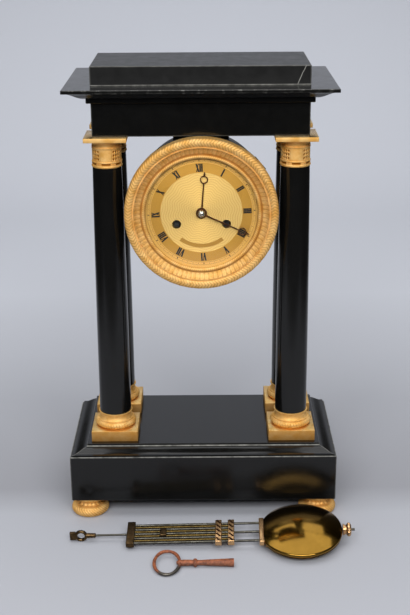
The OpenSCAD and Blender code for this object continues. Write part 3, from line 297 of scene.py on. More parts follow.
@dataclass(frozen=True)
class EngravedDial(Finish):
    """Gilt brass dial: a pale engine-turned middle, a satin chapter ring and a plain curved cartouche, under
    a painted sheen in fans.

    The turned lines are about 0.5 mm apart on a real dial; they are drawn coarser so that they show.
    """

    name: str = "engraved_gilt_dial"
    middle: str = "#d9bb76"
    line: str = "#a98240"
    ring: str = "#ba8f40"
    panel: str = "#ab8440"
    outside: str = "#dcb262"
    painted_sheen: float = 0.2
    pitch_mm: float = 2.2
    petals: float = 12.0
    swing_mm: float = 0.9
    cut: float = 0.3
    circle_mm: float = 0.35
    deep_mm: float = 0.08
    axis_z: float = 0.3
    ring_in: float = 36.8
    ring_out: float = 45.7
    panel_in: float = 28.9
    panel_out: float = 32.6
    panel_half: float = 0.66

    def paint(self, mat: Material) -> Node:
        """Draws the turned pattern, ring and cartouche from radius and angle, and paints a sheen in fans; see
        Finish.paint.
        """
        at = add(mat, "TexCoord").outputs["Object"]
        centred = add(mat, "Mapping", {"Vector": at, "Location": (0, 0, -self.axis_z), "Scale": (1, 0, 1)},
                      vector_type="POINT")
        radius_m = add(mat, "VectorMath", {0: centred}, operation="LENGTH").outputs["Value"]
        radius = add(mat, "Math", {0: radius_m, 1: 1 / MM}, operation="MULTIPLY")
        axes = add(mat, "SeparateXYZ", {0: centred})
        angle = add(mat, "Math", {0: axes.outputs["X"], 1: axes.outputs["Z"]}, operation="ARCTAN2")
        petals = add(mat, "Math", {0: angle, 1: self.petals}, operation="MULTIPLY")
        lobes = add(mat, "Math", {0: petals}, operation="SINE")
        swing = add(mat, "Math", {0: lobes, 1: self.swing_mm, 2: radius}, operation="MULTIPLY_ADD")
        pitch = add(mat, "Math", {0: swing, 1: 2 * math.pi / self.pitch_mm}, operation="MULTIPLY")
        turned = add(mat, "Math", {0: pitch}, operation="SINE")
        share = add(mat, "MapRange", {"Value": turned, "From Min": 0.0, "From Max": 1.0, "To Max": self.cut})
        rosette = add(mat, "Mix", {"Factor": share, A: linear(self.middle), B: linear(self.line)},
                      data_type="RGBA")
        past = add(mat, "Math", {0: radius, 1: self.ring_out}, operation="GREATER_THAN")
        plain = add(mat, "Mix", {"Factor": past, A: rosette, B: linear(self.outside)}, data_type="RGBA")
        in_ring = self.band(mat, radius, self.ring_in, self.ring_out)
        ringed = add(mat, "Mix", {"Factor": in_ring, A: plain, B: linear(self.ring)}, data_type="RGBA")
        low = add(mat, "Math", {0: angle}, operation="ABSOLUTE")
        near = add(mat, "Math", {0: low, 1: math.pi - self.panel_half}, operation="GREATER_THAN")
        in_panel = self.band(mat, radius, self.panel_in, self.panel_out)
        plate = add(mat, "Math", {0: in_panel, 1: near}, operation="MULTIPLY")
        plated = add(mat, "Mix", {"Factor": plate, A: ringed, B: linear(self.panel)}, data_type="RGBA")
        # Painted sheen: the colour is lighter at the top and bottom and darker at the sides, as light on a
        # satin dial.
        twice = add(mat, "Math", {0: angle, 1: 2.0}, operation="MULTIPLY")
        sides = add(mat, "Math", {0: twice}, operation="COSINE")
        painted_sheen_fans = add(mat, "MapRange", {"Value": sides, "From Min": -1.0, "To Min": 1 - self.painted_sheen})
        colour = add(mat, "Mix", {"Factor": 1.0, A: plated, B: painted_sheen_fans}, data_type="RGBA", blend_type="MULTIPLY")
        fine = add(mat, "Math", {0: radius, 1: 2 * math.pi / self.circle_mm}, operation="MULTIPLY")
        circles = add(mat, "Math", {0: fine}, operation="SINE")
        height = add(mat, "Math", {0: circles, 1: 0.4, 2: turned}, operation="MULTIPLY_ADD")
        bump = add(mat, "Bump", {"Height": height, "Strength": 0.12, "Distance": self.deep_mm * MM})
        rough = add(mat, "MapRange", {"Value": in_ring, "To Min": 0.74, "To Max": 0.68})
        return add(mat, "BsdfPrincipled", {"Base Color": colour, "Roughness": rough, "Normal": bump,
                                           "Metallic": 1.0})

    def band(self, mat: Material, radius: Node, low: float, high: float) -> Node:
        """Masks the ring between two radii.

        Args:
            mat: the material.
            radius: gives the radius in millimetres.
            low: inner radius.
            high: outer radius.

        Returns:
            A node that gives 1 inside the ring and 0 outside it.
        """
        inner = add(mat, "Math", {0: radius, 1: low}, operation="GREATER_THAN")
        outer = add(mat, "Math", {0: radius, 1: high}, operation="LESS_THAN")
        return add(mat, "Math", {0: inner, 1: outer}, operation="MULTIPLY")


@dataclass(frozen=True)
class Metal(Finish):
    """A plain worked metal: its own colour, a patchy tarnish and fine scratches that spread its gloss."""

    name: str
    clean: str
    tarnish: str
    gloss: float
    dull: float
    patch_mm: float = 8.0
    spread: float = 0.5

    def paint(self, mat: Material) -> Node:
        """Mixes clean and tarnished metal in patches; see Finish.paint."""
        at = add(mat, "TexCoord").outputs["Object"]
        patches = add(mat, "TexNoise", {"Vector": at, "Scale": per_metre(self.patch_mm), "Detail": 6.0,
                                        "Roughness": 0.65})
        share = add(mat, "MapRange", {"Value": patches, "From Min": 0.35, "From Max": 0.7,
                                      "To Max": self.spread})
        recess = add(mat, "Attribute", attribute_name="recess").outputs["Fac"]
        # The recess takes the colour to the tarnish colour: painted shade in the pendulum's slots, darker
        # grooves on the nut.
        deep = add(mat, "Math", {0: share, 1: recess}, operation="MAXIMUM")
        colour = add(mat, "Mix", {"Factor": deep, A: linear(self.clean), B: linear(self.tarnish)},
                     data_type="RGBA")
        rough = add(mat, "MapRange", {"Value": patches, "From Min": 0.3, "From Max": 0.75,
                                      "To Min": self.gloss, "To Max": self.dull})
        return add(mat, "BsdfPrincipled", {"Base Color": colour, "Roughness": rough, "Metallic": 1.0})


@dataclass(frozen=True)
class RustyIron(Finish):
    """Rusted wrought iron: orange-brown crust, dry and pitted, with bare dark metal where the hand rubs."""

    name: str = "rusted_wrought_iron"
    crust: str = "#a35d38"
    dark: str = "#592a15"
    bare: str = "#57534d"
    spot_mm: float = 3.2
    pit_mm: float = 0.9
    pit_deep_mm: float = 0.3

    def paint(self, mat: Material) -> Node:
        """Mottles the crust, bares the rubbed attribute and pits the surface; see Finish.paint."""
        at = add(mat, "TexCoord").outputs["Object"]
        spots = add(mat, "TexNoise", {"Vector": at, "Scale": per_metre(self.spot_mm), "Detail": 6.0,
                                      "Roughness": 0.7})
        share = add(mat, "MapRange", {"Value": spots, "From Min": 0.36, "From Max": 0.64})
        rust = add(mat, "Mix", {"Factor": share, A: linear(self.dark), B: linear(self.crust)},
                   data_type="RGBA")
        rubbed = add(mat, "Attribute", attribute_name="recess").outputs["Fac"]
        colour = add(mat, "Mix", {"Factor": rubbed, A: rust, B: linear(self.bare)}, data_type="RGBA")
        rough = add(mat, "MapRange", {"Value": rubbed, "To Min": 0.62, "To Max": 0.3})
        metal = add(mat, "MapRange", {"Value": rubbed, "To Min": 0.1, "To Max": 0.9})
        pits = add(mat, "TexNoise", {"Vector": at, "Scale": per_metre(self.pit_mm), "Detail": 4.0})
        bump = add(mat, "Bump", {"Height": pits, "Strength": 0.5, "Distance": self.pit_deep_mm * MM})
        return add(mat, "BsdfPrincipled", {"Base Color": colour, "Roughness": rough, "Metallic": metal,
                                           "Normal": bump})


@dataclass(frozen=True)
class BlackWax(Finish):
    """Black engraver's wax in the numerals: a dull brown-black with a slight mottle."""

    name: str = "black_engraving_wax"
    deep: str = "#050403"
    worn: str = "#14100b"
    mottle_mm: float = 1.4

    def paint(self, mat: Material) -> Node:
        """Mottles two near blacks; see Finish.paint."""
        at = add(mat, "TexCoord").outputs["Object"]
        mottle = add(mat, "TexNoise", {"Vector": at, "Scale": per_metre(self.mottle_mm), "Detail": 4.0})
        colour = add(mat, "Mix", {"Factor": mottle, A: linear(self.deep), B: linear(self.worn)},
                     data_type="RGBA")
        return add(mat, "BsdfPrincipled", {"Base Color": colour, "Roughness": 0.6,
                                           "Specular IOR Level": 0.25})


@dataclass(frozen=True)
class ClearGlass(Finish):
    """Thin blown glass: clear, with the soft mirror of a polished dome; lamps pass it."""

    name: str = "clear_domed_glass"
    tint: str = "#fbfcfb"

    def paint(self, mat: Material) -> Node:
        """Sets clear glass that lets lamp light through; see Finish.paint."""
        glass = add(mat, "BsdfPrincipled", {"Base Color": linear(self.tint), "Roughness": 0.0, "IOR": 1.45,
                                            "Transmission Weight": 1.0})
        lamp_ray = add(mat, "LightPath").outputs["Is Shadow Ray"]
        return add(mat, "MixShader", {0: lamp_ray, 1: glass, 2: add(mat, "BsdfTransparent")})


@dataclass(frozen=True)
class StudioPaper(Finish):
    """Pale grey paper: matt, faintly fibrous, with painted shade round the clock, and dark cloth past its
    ends.

    Its back is left clear, so that the clock can be seen from behind the wall. Places are in metres.
    """

    name: str = "studio_paper"
    # Painted shade: the paper's tone by depth, darkest round the clock.
    painted_shade_tones: tuple[tuple[float, str], ...] = (
        (-0.065, "#a3a5ac"), (-0.015, "#8e8f95"), (0.2, "#9c9ea5"), (0.58, "#c1c4cc"))
    cloth: str = "#2a2a2c"
    fibre_mm: float = 1.5
    half: float = 0.5
    half_fade: float = 0.25
    front: float = 0.42
    front_fade: float = 0.2

    def paint(self, mat: Material) -> Node:
        """Paints shade on the sheet, darkest round the clock, and darkens it where the set ends; see
        Finish.paint.
        """
        at = add(mat, "TexCoord").outputs["Object"]
        axes = add(mat, "SeparateXYZ", {0: at})
        fibre = add(mat, "TexNoise", {"Vector": at, "Scale": per_metre(self.fibre_mm), "Detail": 3.0})
        tone: object = linear(self.painted_shade_tones[0][1])
        for (near, _), (far, code) in zip(self.painted_shade_tones, self.painted_shade_tones[1:]):
            away = add(mat, "MapRange", {"Value": axes.outputs["Y"], "From Min": near, "From Max": far})
            tone = add(mat, "Mix", {"Factor": away, A: tone, B: linear(code)}, data_type="RGBA")
        speck = add(mat, "MapRange", {"Value": fibre, "To Min": 0.97, "To Max": 1.03})
        paper = add(mat, "Mix", {"Factor": 1.0, A: tone, B: speck}, data_type="RGBA", blend_type="MULTIPLY")
        side = add(mat, "Math", {0: axes.outputs["X"]}, operation="ABSOLUTE")
        past = add(mat, "MapRange", {"Value": side, "From Min": self.half,
                                     "From Max": self.half + self.half_fade})
        ahead = add(mat, "MapRange", {"Value": axes.outputs["Y"], "From Min": -self.front,
                                      "From Max": -self.front - self.front_fade})
        ends = add(mat, "Math", {0: past, 1: ahead}, operation="MAXIMUM")
        colour = add(mat, "Mix", {"Factor": ends, A: paper, B: linear(self.cloth)}, data_type="RGBA")
        matt = add(mat, "BsdfPrincipled", {"Base Color": colour, "Roughness": 0.9})
        behind = add(mat, "NewGeometry").outputs["Backfacing"]
        return add(mat, "MixShader", {0: behind, 1: matt, 2: add(mat, "BsdfTransparent")})


MARBLE = PolishedMarble()
GILT = Ormolu()
DIAL = EngravedDial(axis_z=sum(corner.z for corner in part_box("dial")) / 2)
WAX = BlackWax()
GLASS = ClearGlass()
RUST = RustyIron()
TEMPERED = Metal("tempered_brown_steel", "#7d5230", "#543219", 0.24, 0.4, 3.0)
STEEL = Metal("bright_polished_steel", "#b9bab8", "#7f7d78", 0.14, 0.34, 5.0)
OLD_STEEL = Metal("tarnished_steel", "#55534c", "#27241e", 0.24, 0.42, 6.0, 0.8)
OLD_BRASS = Metal("tarnished_brass", "#5c4b28", "#2e2616", 0.26, 0.44, 5.0, 0.8)
DARK_BRONZE = Metal("dark_bronze", "#5e4a30", "#2b2116", 0.26, 0.42, 4.0, 0.8)
IRON = Metal("blackened_iron", "#2b2826", "#171513", 0.45, 0.65, 6.0)
SHEET = Metal("dull_drum_sheet", "#5c5954", "#34322f", 0.38, 0.55, 10.0, 0.7)
BRASS = Metal("lacquered_brass", "#c9a455", "#9a7634", 0.2, 0.36, 14.0)
BRIGHT_BRASS = Metal("mirror_brass", "#86662a", "#6a4e1b", 0.12, 0.18, 18.0, 0.5)
POLISHED_BRASS = Metal("polished_brass", "#d8ad7c", "#402610", 0.18, 0.32, 6.0, 0.25)


def smooth_step(value: float, low: float, high: float) -> float:
    """Rises smoothly from 0 at low to 1 at high."""
    t = min(1.0, max(0.0, (value - low) / (high - low)))
    return t * t * (3 - 2 * t)


def arc(centre: Point, radius: float, start: float, stop: float, steps: int) -> list[Point]:
    """Gives points along an arc.

    Args:
        centre: the arc's centre.
        radius: its radius.
        start: first angle in degrees.
        stop: last angle in degrees.
        steps: how many segments.

    Returns:
        The points, both ends included.
    """
    angles = [math.radians(start + (stop - start) * i / steps) for i in range(steps + 1)]
    return [(centre[0] + radius * math.cos(a), centre[1] + radius * math.sin(a)) for a in angles]


def straight(start: Point, stop: Point, steps: int) -> list[Point]:
    """Gives evenly spaced points on a line, both ends included."""
    (x0, y0), (x1, y1) = start, stop
    return [(x0 + (x1 - x0) * i / steps, y0 + (y1 - y0) * i / steps) for i in range(steps + 1)]


def sag(start: Point, stop: Point, bow: float, steps: int) -> list[Point]:
    """Gives points on a shallow curve that bows by a distance to the line's right.

    Args:
        start: first point.
        stop: last point.
        bow: how far the middle leaves the line.
        steps: how many segments.

    Returns:
        The points, both ends included.
    """
    along = Vector(stop) - Vector(start)
    side = Vector((along.y, -along.x)).normalized()
    line = straight(start, stop, steps)
    return [tuple(Vector(p) + side * bow * math.sin(math.pi * i / steps)) for i, p in enumerate(line)]


def move(x: float, y: float, z: float) -> Matrix:
    """Gives a shift in millimetres."""
    return Matrix.Translation((x, y, z))


def turn(degrees: float, axis: str) -> Matrix:
    """Gives a turn about one axis."""
    return Matrix.Rotation(math.radians(degrees), 4, axis)


def reach(node: str) -> tuple[Vector, Vector]:
    """Gives the lowest and the highest corner of a CAD node, in millimetres."""
    low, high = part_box(node)
    return low / MM, high / MM


def footing(node: str) -> Matrix:
    """Gives the place at the middle of a CAD node's underside."""
    low, high = reach(node)
    return move((low.x + high.x) / 2, (low.y + high.y) / 2, low.z)


def joint(name: str) -> tuple[Vector, Vector]:
    """Gives a joint's place in millimetres and its axis."""
    found = next(j for j in frame["joints"] if j["name"] == name)
    return Vector(found["pos_m"]) / MM, Vector(found["axis"])


class Sculpt:
    """Shapes one piece in millimetres and places it in the row frame.

    Each vertex has a recess: how deep in the carving, or how worn, it is.
    Gilt shows it as painted shade; marble edges show it as wear and painted highlight.
    """

    def __init__(self) -> None:
        """Starts an empty mesh with its recess layer."""
        self.mesh = bmesh.new()
        self.recess = self.mesh.verts.layers.float.new("recess")

    def spin(self, start: Sequence[BMVert], edges: Sequence[BMEdge], steps: int) -> list[BMVert]:
        """Spins an outline once round local Z and closes the seam.

        Args:
            start: the outline's vertices.
            edges: the edges between them.
            steps: segments round the turn.

        Returns:
            All the vertices of the turned shape.
        """
        before = set(self.mesh.verts) - set(start)
        bmesh.ops.spin(self.mesh, geom=[*start, *edges], cent=(0, 0, 0), axis=(0, 0, 1), angle=2 * math.pi,
                       steps=steps, use_merge=True)
        made = [v for v in self.mesh.verts if v not in before]
        bmesh.ops.remove_doubles(self.mesh, verts=made, dist=1e-4)
        made = [v for v in self.mesh.verts if v not in before]
        bmesh.ops.recalc_face_normals(self.mesh, faces=list({f for v in made for f in v.link_faces}))
        return made

    def lathe(self, profile: Sequence[Point], steps: int, place: Matrix,
              relief: Optional[Relief] = None) -> None:
        """Spins a profile about local Z.

        Args:
            profile: closed outline of (radius, height) points.
            steps: segments round the turn.
            place: where the shape goes, in millimetres.
            relief: gives the depth along the normal and the recess at (angle, radius, height).
        """
        start = [self.mesh.verts.new((r, 0, z)) for r, z in profile]
        edges = [self.mesh.edges.new(pair) for pair in zip(start, start[1:])]
        if profile[0][0] > 0:
            edges.append(self.mesh.edges.new((start[-1], start[0])))
        made = self.spin(start, edges, steps)
        if relief:
            self.mesh.normal_update()
            cuts = [relief(math.atan2(v.co.y, v.co.x), math.hypot(v.co.x, v.co.y), v.co.z) for v in made]
            for v, (depth, recess) in zip(made, cuts):
                v.co += v.normal * depth
                v[self.recess] = recess
        bmesh.ops.transform(self.mesh, matrix=SHRINK @ place, verts=made)

    def block(self, size: Triple, place: Matrix, bevel: float = 0.0, segments: int = 2, deep: float = 0.0,
              top: Optional[float] = None) -> None:
        """Adds a block with rounded edges.

        Args:
            size: lengths along local X, Y and Z.
            place: where its centre goes, in millimetres.
            bevel: width of the rounding.
            segments: segments in the rounding.
            deep: the recess of the whole block.
            top: another recess for its top face.
        """
        made = bmesh.ops.create_cube(self.mesh, size=1.0, matrix=Matrix.Diagonal((*size, 1)))["verts"]
        if bevel > 0:
            edges = list({e for v in made for e in v.link_edges})
            made = bmesh.ops.bevel(self.mesh, geom=edges, offset=bevel, offset_type="OFFSET",
                                   segments=segments, profile=0.5, affect="EDGES", material=-1)["verts"]
        level = max(v.co.z for v in made) - 1e-4
        for v in made:
            v[self.recess] = deep if top is None or v.co.z < level else top
        bmesh.ops.transform(self.mesh, matrix=SHRINK @ place, verts=made)

    def ring(self, plan: Sequence[Point], z: float, ease: float, worn: float,
             corner_wear_and_highlight: float) -> list[BMVert]:
        """Adds one level ring of a stone with eased corners.

        Args:
            plan: the corners in order.
            z: the ring's height.
            ease: how far a corner is cut back.
            worn: paleness along the ring, from wear, glue and painted highlight.
            corner_wear_and_highlight: least paleness at the corners, from wear and painted highlight.

        Returns:
            The ring's vertices in order.
        """
        made = []
        rubbed = max(worn, corner_wear_and_highlight)
        for i, spot in enumerate(plan):
            here = Vector(spot)
            back = (Vector(plan[i - 1]) - here).normalized() * ease
            onward = (Vector(plan[(i + 1) % len(plan)]) - here).normalized() * ease
            spots = (back * BESIDE, worn), (back, rubbed), (onward, rubbed), (onward * BESIDE, worn)
            for shift, wear in spots:
                vert = self.mesh.verts.new((*((here + shift) * MM), z * MM))
                vert[self.recess] = wear
                made.append(vert)
        return made

    def skin(self, rows: Sequence[Sequence[BMVert]]) -> None:
        """Joins rings with faces and closes both ends.

        Args:
            rows: rings from the bottom up.
        """
        for low, high in zip(rows, rows[1:]):
            for i, corner in enumerate(low):
                j = (i + 1) % len(low)
                self.mesh.faces.new((corner, low[j], high[j], high[i]))
        self.mesh.faces.new(rows[0])
        self.mesh.faces.new(rows[-1])
        bmesh.ops.recalc_face_normals(self.mesh, faces=self.mesh.faces[:])

    def piece(self, name: str, body: Body, slot: Slot, finish: Finish, replaces: Sequence[str] = (),
              crease: float = 50.0) -> None:
        """Turns the mesh to an object that rides on a body.

        Args:
            name: the piece's name.
            body: the body it moves with.
            slot: the record's slot for its finish; not used.
            finish: its finish.
            replaces: CAD nodes that it stands for.
            crease: angle in degrees past which an edge stays sharp.
        """
        data = bpy.data.meshes.new(name)
        self.mesh.to_mesh(data)
        self.mesh.free()
        data.shade_smooth()
        data.set_sharp_from_angle(angle=math.radians(crease))
        data.materials.append(finish.material())
        made = bpy.data.objects.new(name, data)
        bpy.context.scene.collection.objects.link(made)
        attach(made, body.value)
        if replaces:
            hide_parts(*replaces)
        LOG.info("%s: %d faces on %s", name, len(data.polygons), body.value)


@dataclass
class MarbleCase:
    """The marble of the case: moulded stones with pale edges of wear and painted highlight, and four turned
    shafts.
    """

    arris: float = 0.5
    ledge_highlight: float = 0.5
    edge_wear_and_highlight: float = 0.22
    joint_worn: float = 1.0
    fillet: float = 0.8
    fillet_worn: float = 0.2
    slab_edge: float = 2.8
    highlight_band: float = 1.1
    highlight_pale: float = 0.95
    run: float = 13.2
    cornice_fillet: Point = (3.8, 4.4)
    cornice_edge: float = 3.2
    cornice_worn: Point = (0.15, 0.5)
    cornice_chips: Triple = (0.52, 0.68, 0.1)
    attic_gloss: Point = (0.34, 0.46)
    vein_x: Point = (83.8, 91.5)
    neck: float = 0.875
    entasis: float = 0.5
    sharp: float = 28.0

    def build(self) -> None:
        """Cuts the stones and turns the shafts."""
        low, high = reach("base_block")
        # The block's top edge is paled as a painted highlight.
        self.stone("base_block", [(0, low.z, 0), (0, high.z, self.ledge_highlight)], low, high)
        self.base_top()
        low, high = reach("frieze")
        self.stone("frieze", [(0, low.z, self.edge_wear_and_highlight), (0, high.z, 0)], low, high)
        self.cornice()
        low, high = reach("attic_block")
        vein = (self.vein_x[0], low.z), (self.vein_x[1], high.z)
        veined = PolishedMarble(name="veined_black_marble", gloss=self.attic_gloss, streak=vein)
        courses = [(0, low.z, self.joint_worn), (0, high.z, self.edge_wear_and_highlight)]
        self.stone("attic_block", courses, low, high, veined)
        for corner in Corner:
            self.shaft(corner)

    def ogee(self, start: Point, stop: Point, steps: int = 14) -> list[Triple]:
        """Gives the courses of a moulding that is level at both ends.

        Args:
            start: first (overhang, height).
            stop: last (overhang, height).
            steps: how many segments.

        Returns:
            (overhang, height, paleness) points.
        """
        (out, low), (over, high) = start, stop
        shares = [i / steps for i in range(steps + 1)]
        return [(out + (over - out) * t, low + (high - low) * (1 - math.cos(math.pi * t)) / 2, 0)
                for t in shares]

    def base_top(self) -> None:
        """Cuts the slab with its moulding round the front and sides, and a pale band under its top edge as a
        painted highlight.
        """
        low, high = reach("base_top")
        foot, lip = low.z + self.fillet, high.z - self.slab_edge
        # Painted highlight: a pale band just under the slab's top edge.
        line = lip + self.highlight_band
        courses = [(self.run, low.z, 0), (self.run, foot, self.fillet_worn),
                   *self.ogee((self.run - self.fillet, foot), (0.3, lip)),
                   (0, lip, self.highlight_pale), (0, line, self.highlight_pale), (0, line + 0.1, 0),
                   (0, high.z, 0)]
        inset = Vector((self.run, self.run, 0))
        back = Vector((high.x - self.run, high.y, high.z))
        self.stone("base_top", courses, low + inset, back, flat_back=True)

    def cornice(self) -> None:
        """Cuts the cornice with its fillet, ogee and thin edge."""
        out, tall = self.cornice_fillet
        low, high = reach("cornice")
        core, top = reach("frieze")
        over = high.x - top.x
        edge = high.z - self.cornice_edge
        under_worn, top_worn = self.cornice_worn
        courses = [(out, low.z, 0), (out, low.z + tall, 0),
                   *self.ogee((out + 0.1, low.z + tall), (over - 0.4, edge)),
                   (over, edge, under_worn), (over, high.z, top_worn)]
        chipped = PolishedMarble(name="chipped_black_marble", chipped=self.cornice_chips)
        self.stone("cornice", courses, core, top, chipped)

    def stone(self, node: str, courses: Sequence[Triple], low: Vector, high: Vector, finish: Finish = MARBLE,
              flat_back: bool = False) -> None:
        """Cuts one stone from rings of points and pales its edges, as wear and as painted highlight.

        Args:
            node: the CAD node it stands for.
            courses: (overhang, height, paleness of wear and painted highlight) from the bottom up.
            low: lowest corner of the plan.
            high: highest corner of the plan.
            finish: its finish.
            flat_back: leaves the back without overhang.
        """
        work = Sculpt()
        rows = []
        levels = self.eased(courses)
        for out, z, worn in levels:
            # Pale corners: real wear and painted highlight.
            corner_wear_and_highlight = self.edge_wear_and_highlight if levels[0][1] < z < levels[-1][1] else 0.0
            left, right, front = low.x - out, high.x + out, low.y - out
            back = high.y if flat_back else high.y + out
            plan = [(left, front), (right, front), (right, back), (left, back)]
            rows.append(work.ring(plan, z, self.arris, worn, corner_wear_and_highlight))
        work.skin(rows)
        work.piece(f"marble_{node}", Body.CASE, Slot.MARBLE, finish, [node], self.sharp)

    def eased(self, courses: Sequence[Triple]) -> list[Triple]:
        """Splits the lowest and the highest edge in an eased arris with plain stone just beside it.

        Args:
            courses: (overhang, height, paleness of wear and painted highlight) from the bottom up.

        Returns:
            More courses, with the paleness only across the arris.
        """
        c, beside = self.arris, BESIDE * self.arris
        (out, z, worn), *middle, (over, top, top_worn) = courses
        return [(out - beside, z, 0), (out - c, z, worn), (out, z + c, worn), (out, z + beside, 0), *middle,
                (over, top - beside, 0), (over, top - c, top_worn), (over - c, top, top_worn),
                (over - beside, top, 0)]

    def shaft(self, corner: Corner, steps: int = 24) -> None:
        """Turns one column shaft with its slight swell.

        Args:
            corner: where it stands.
            steps: segments along it.
        """
        node = f"column_{corner.value}"
        low, high = reach(node)
        foot_r, long = (high.x - low.x) / 2, high.z - low.z
        taper = foot_r * (self.neck - 1)
        side = [(foot_r + taper * i / steps + self.entasis * math.sin(math.pi * i / steps), long * i / steps)
                for i in range(steps + 1)]
        work = Sculpt()
        work.lathe([(0, 0), *side, (0, long)], 96, footing(node))
        work.piece(f"marble_shaft_{corner.value}", Body.CASE, Slot.MARBLE, MARBLE, [node])


@dataclass
class CornerMount:
    """A chased gilt mount that stands at each corner: a turned part, and a square block where it has one."""

    node: str
    piece: str
    steps: int
    crease: float

    def build(self) -> None:
        """Makes the mount at the four corners."""
        for corner in Corner:
            node = f"{self.node}_{corner.value}"
            work = Sculpt()
            self.square(work, footing(node))
            work.lathe(self.profile(), self.steps, footing(node), self.carve)
            work.piece(f"{self.piece}_{corner.value}", Body.CASE, Slot.GILT, GILT, [node], self.crease)

    def square(self, work: Sculpt, at: Matrix) -> None:
        """Adds the square block, if the mount has one.

        Args:
            work: the mount's own mesh.
            at: the middle of its underside.
        """

    def profile(self) -> list[Point]:
        """Gives the outline of the turned part.

        Returns:
            (radius, height) points from the bottom up.
        """
        raise NotImplementedError

    def carve(self, angle: float, radius: float, z: float) -> Point:
        """Chases the turned part.

        Args:
            angle: round its axis, in radians.
            radius: from its axis.
            z: above its underside.

        Returns:
            Depth along the normal and the recess.
        """
        raise NotImplementedError


@dataclass
class Foot(CornerMount):
    """A gilt bun foot with slanting gadroons under a leafy neck."""

    node: str = "foot"
    piece: str = "gadrooned_foot"
    steps: int = 266
    crease: float = 75.0
    bun: float = 9.6
    neck: float = 10.0
    cap: float = 14.5
    cap_h: float = 3.0
    gadroons: int = 38
    slant: float = 0.05
    leaves: int = 14

    def __post_init__(self) -> None:
        """Takes the foot's size from the frame."""
        low, high = reach("foot_front_left")
        self.radius, self.height = (high.x - low.x) / 2, high.z

    def profile(self) -> list[Point]:
        """Gives the bun, the waisted neck and the cap; see CornerMount.profile."""
        half = self.bun / 2
        brim = self.height - self.cap_h
        waist = self.bun + (brim - self.bun) / 2
        return [(0, 0), *arc((self.radius - half, half), half, -90, 90, 20),
                *sag((self.radius - half - 1, self.bun + 0.1), (self.neck, waist), -0.6, 6),
                *sag((self.neck, waist + 0.2), (self.cap - 1, brim), 0.6, 6),
                (self.cap, brim + 0.4), (self.cap, self.height), (0, self.height)]

    def carve(self, angle: float, radius: float, z: float) -> Point:
        """Cuts slanting lobes in the bun and leaves in the neck, with painted shade in their grooves; see
        CornerMount.carve.
        """
        if z <= self.bun and radius > self.radius - self.bun / 2:
            lobe = abs(math.sin(self.gadroons / 2 * (angle + self.slant * z)))
            fade = smooth_step(z, 0.2, 2.0) * (1 - smooth_step(z, self.bun - 1.2, self.bun - 0.2))
            groove = (1 - lobe) ** 2 * fade
            return -1.2 * groove, 0.5 * groove
        if self.bun + 0.3 < z < self.height - self.cap_h:
            gap = 1 - abs(math.sin(self.leaves / 2 * angle))
            return -0.6 * gap, 0.35 * gap ** 2
        return 0.0, 0.0


@dataclass
class ColumnBase(CornerMount):
    """The gilt base of a column: square plinth, leaf torus, hollow and upper ring."""

    node: str = "column_base"
    piece: str = "gilt_column_base"
    steps: int = 352
    crease: float = 60.0
    torus_r: float = 19.6
    torus_h: float = 6.4
    hollow_h: float = 4.2
    ring_r: float = 16.3
    ring_h: float = 3.9
    shaft_r: float = 15.0
    leaves: int = 44
    slant: float = 0.5
    rounding: float = 0.35
    side_shade: float = 0.5
    top_tone: float = -0.7

    def __post_init__(self) -> None:
        """Takes the plinth's size from the frame."""
        low, high = reach("column_base_front_left")
        self.plinth = high.x - low.x
        self.plinth_h = high.z - low.z - self.torus_h - self.hollow_h - self.ring_h

    def square(self, work: Sculpt, at: Matrix) -> None:
        """Adds the plinth, its sides darkened as painted shade; see CornerMount.square."""
        size = self.plinth, self.plinth, self.plinth_h
        middle = at @ move(0, 0, self.plinth_h / 2)
        # The plinth's sides are darkened as painted shade; the top is only made glossier.
        work.block(size, middle, self.rounding, deep=self.side_shade, top=self.top_tone)

    def profile(self) -> list[Point]:
        """Gives the torus, the hollow and the ring; see CornerMount.profile."""
        half = self.torus_h / 2
        core = self.torus_r - half
        top = self.plinth_h + self.torus_h
        end = top + self.hollow_h + self.ring_h
        return [(0, self.plinth_h - 0.5), (core, self.plinth_h - 0.5),
                *arc((core, self.plinth_h + half), half, -90, 90, 16),
                (core + 0.8, top), (core + 0.8, top + 0.9),
                *sag((self.ring_r, top + 1.0), (self.shaft_r + 0.5, end - 0.9), -1.0, 10),
                (self.shaft_r + 1.1, end - 0.8), (self.shaft_r + 1.1, end), (0, end)]

    def carve(self, angle: float, radius: float, z: float) -> Point:
        """Chases slanting leaves on the torus, with painted shade in the cuts; see CornerMount.carve."""
        up = (z - self.plinth_h) / self.torus_h
        if 0 < up < 1 and radius > self.torus_r - self.torus_h / 2:
            turned = angle * self.leaves / (2 * math.pi) + self.slant * up
            side = abs((turned % 1) - 0.5) * 2
            edge = smooth_step(side, 0.72, 1.0)
            rib = 1 - smooth_step(side, 0.0, 0.16)
            tip = smooth_step(0.34 - up + 0.25 * side, 0.12, 0.3)
            fade = smooth_step(up, 0.0, 0.2) * (1 - smooth_step(up, 0.75, 1.0))
            cut = max(edge, 0.5 * rib, tip * 0.8) * fade
            return -0.6 * cut, 0.55 * cut
        return 0.0, 0.0


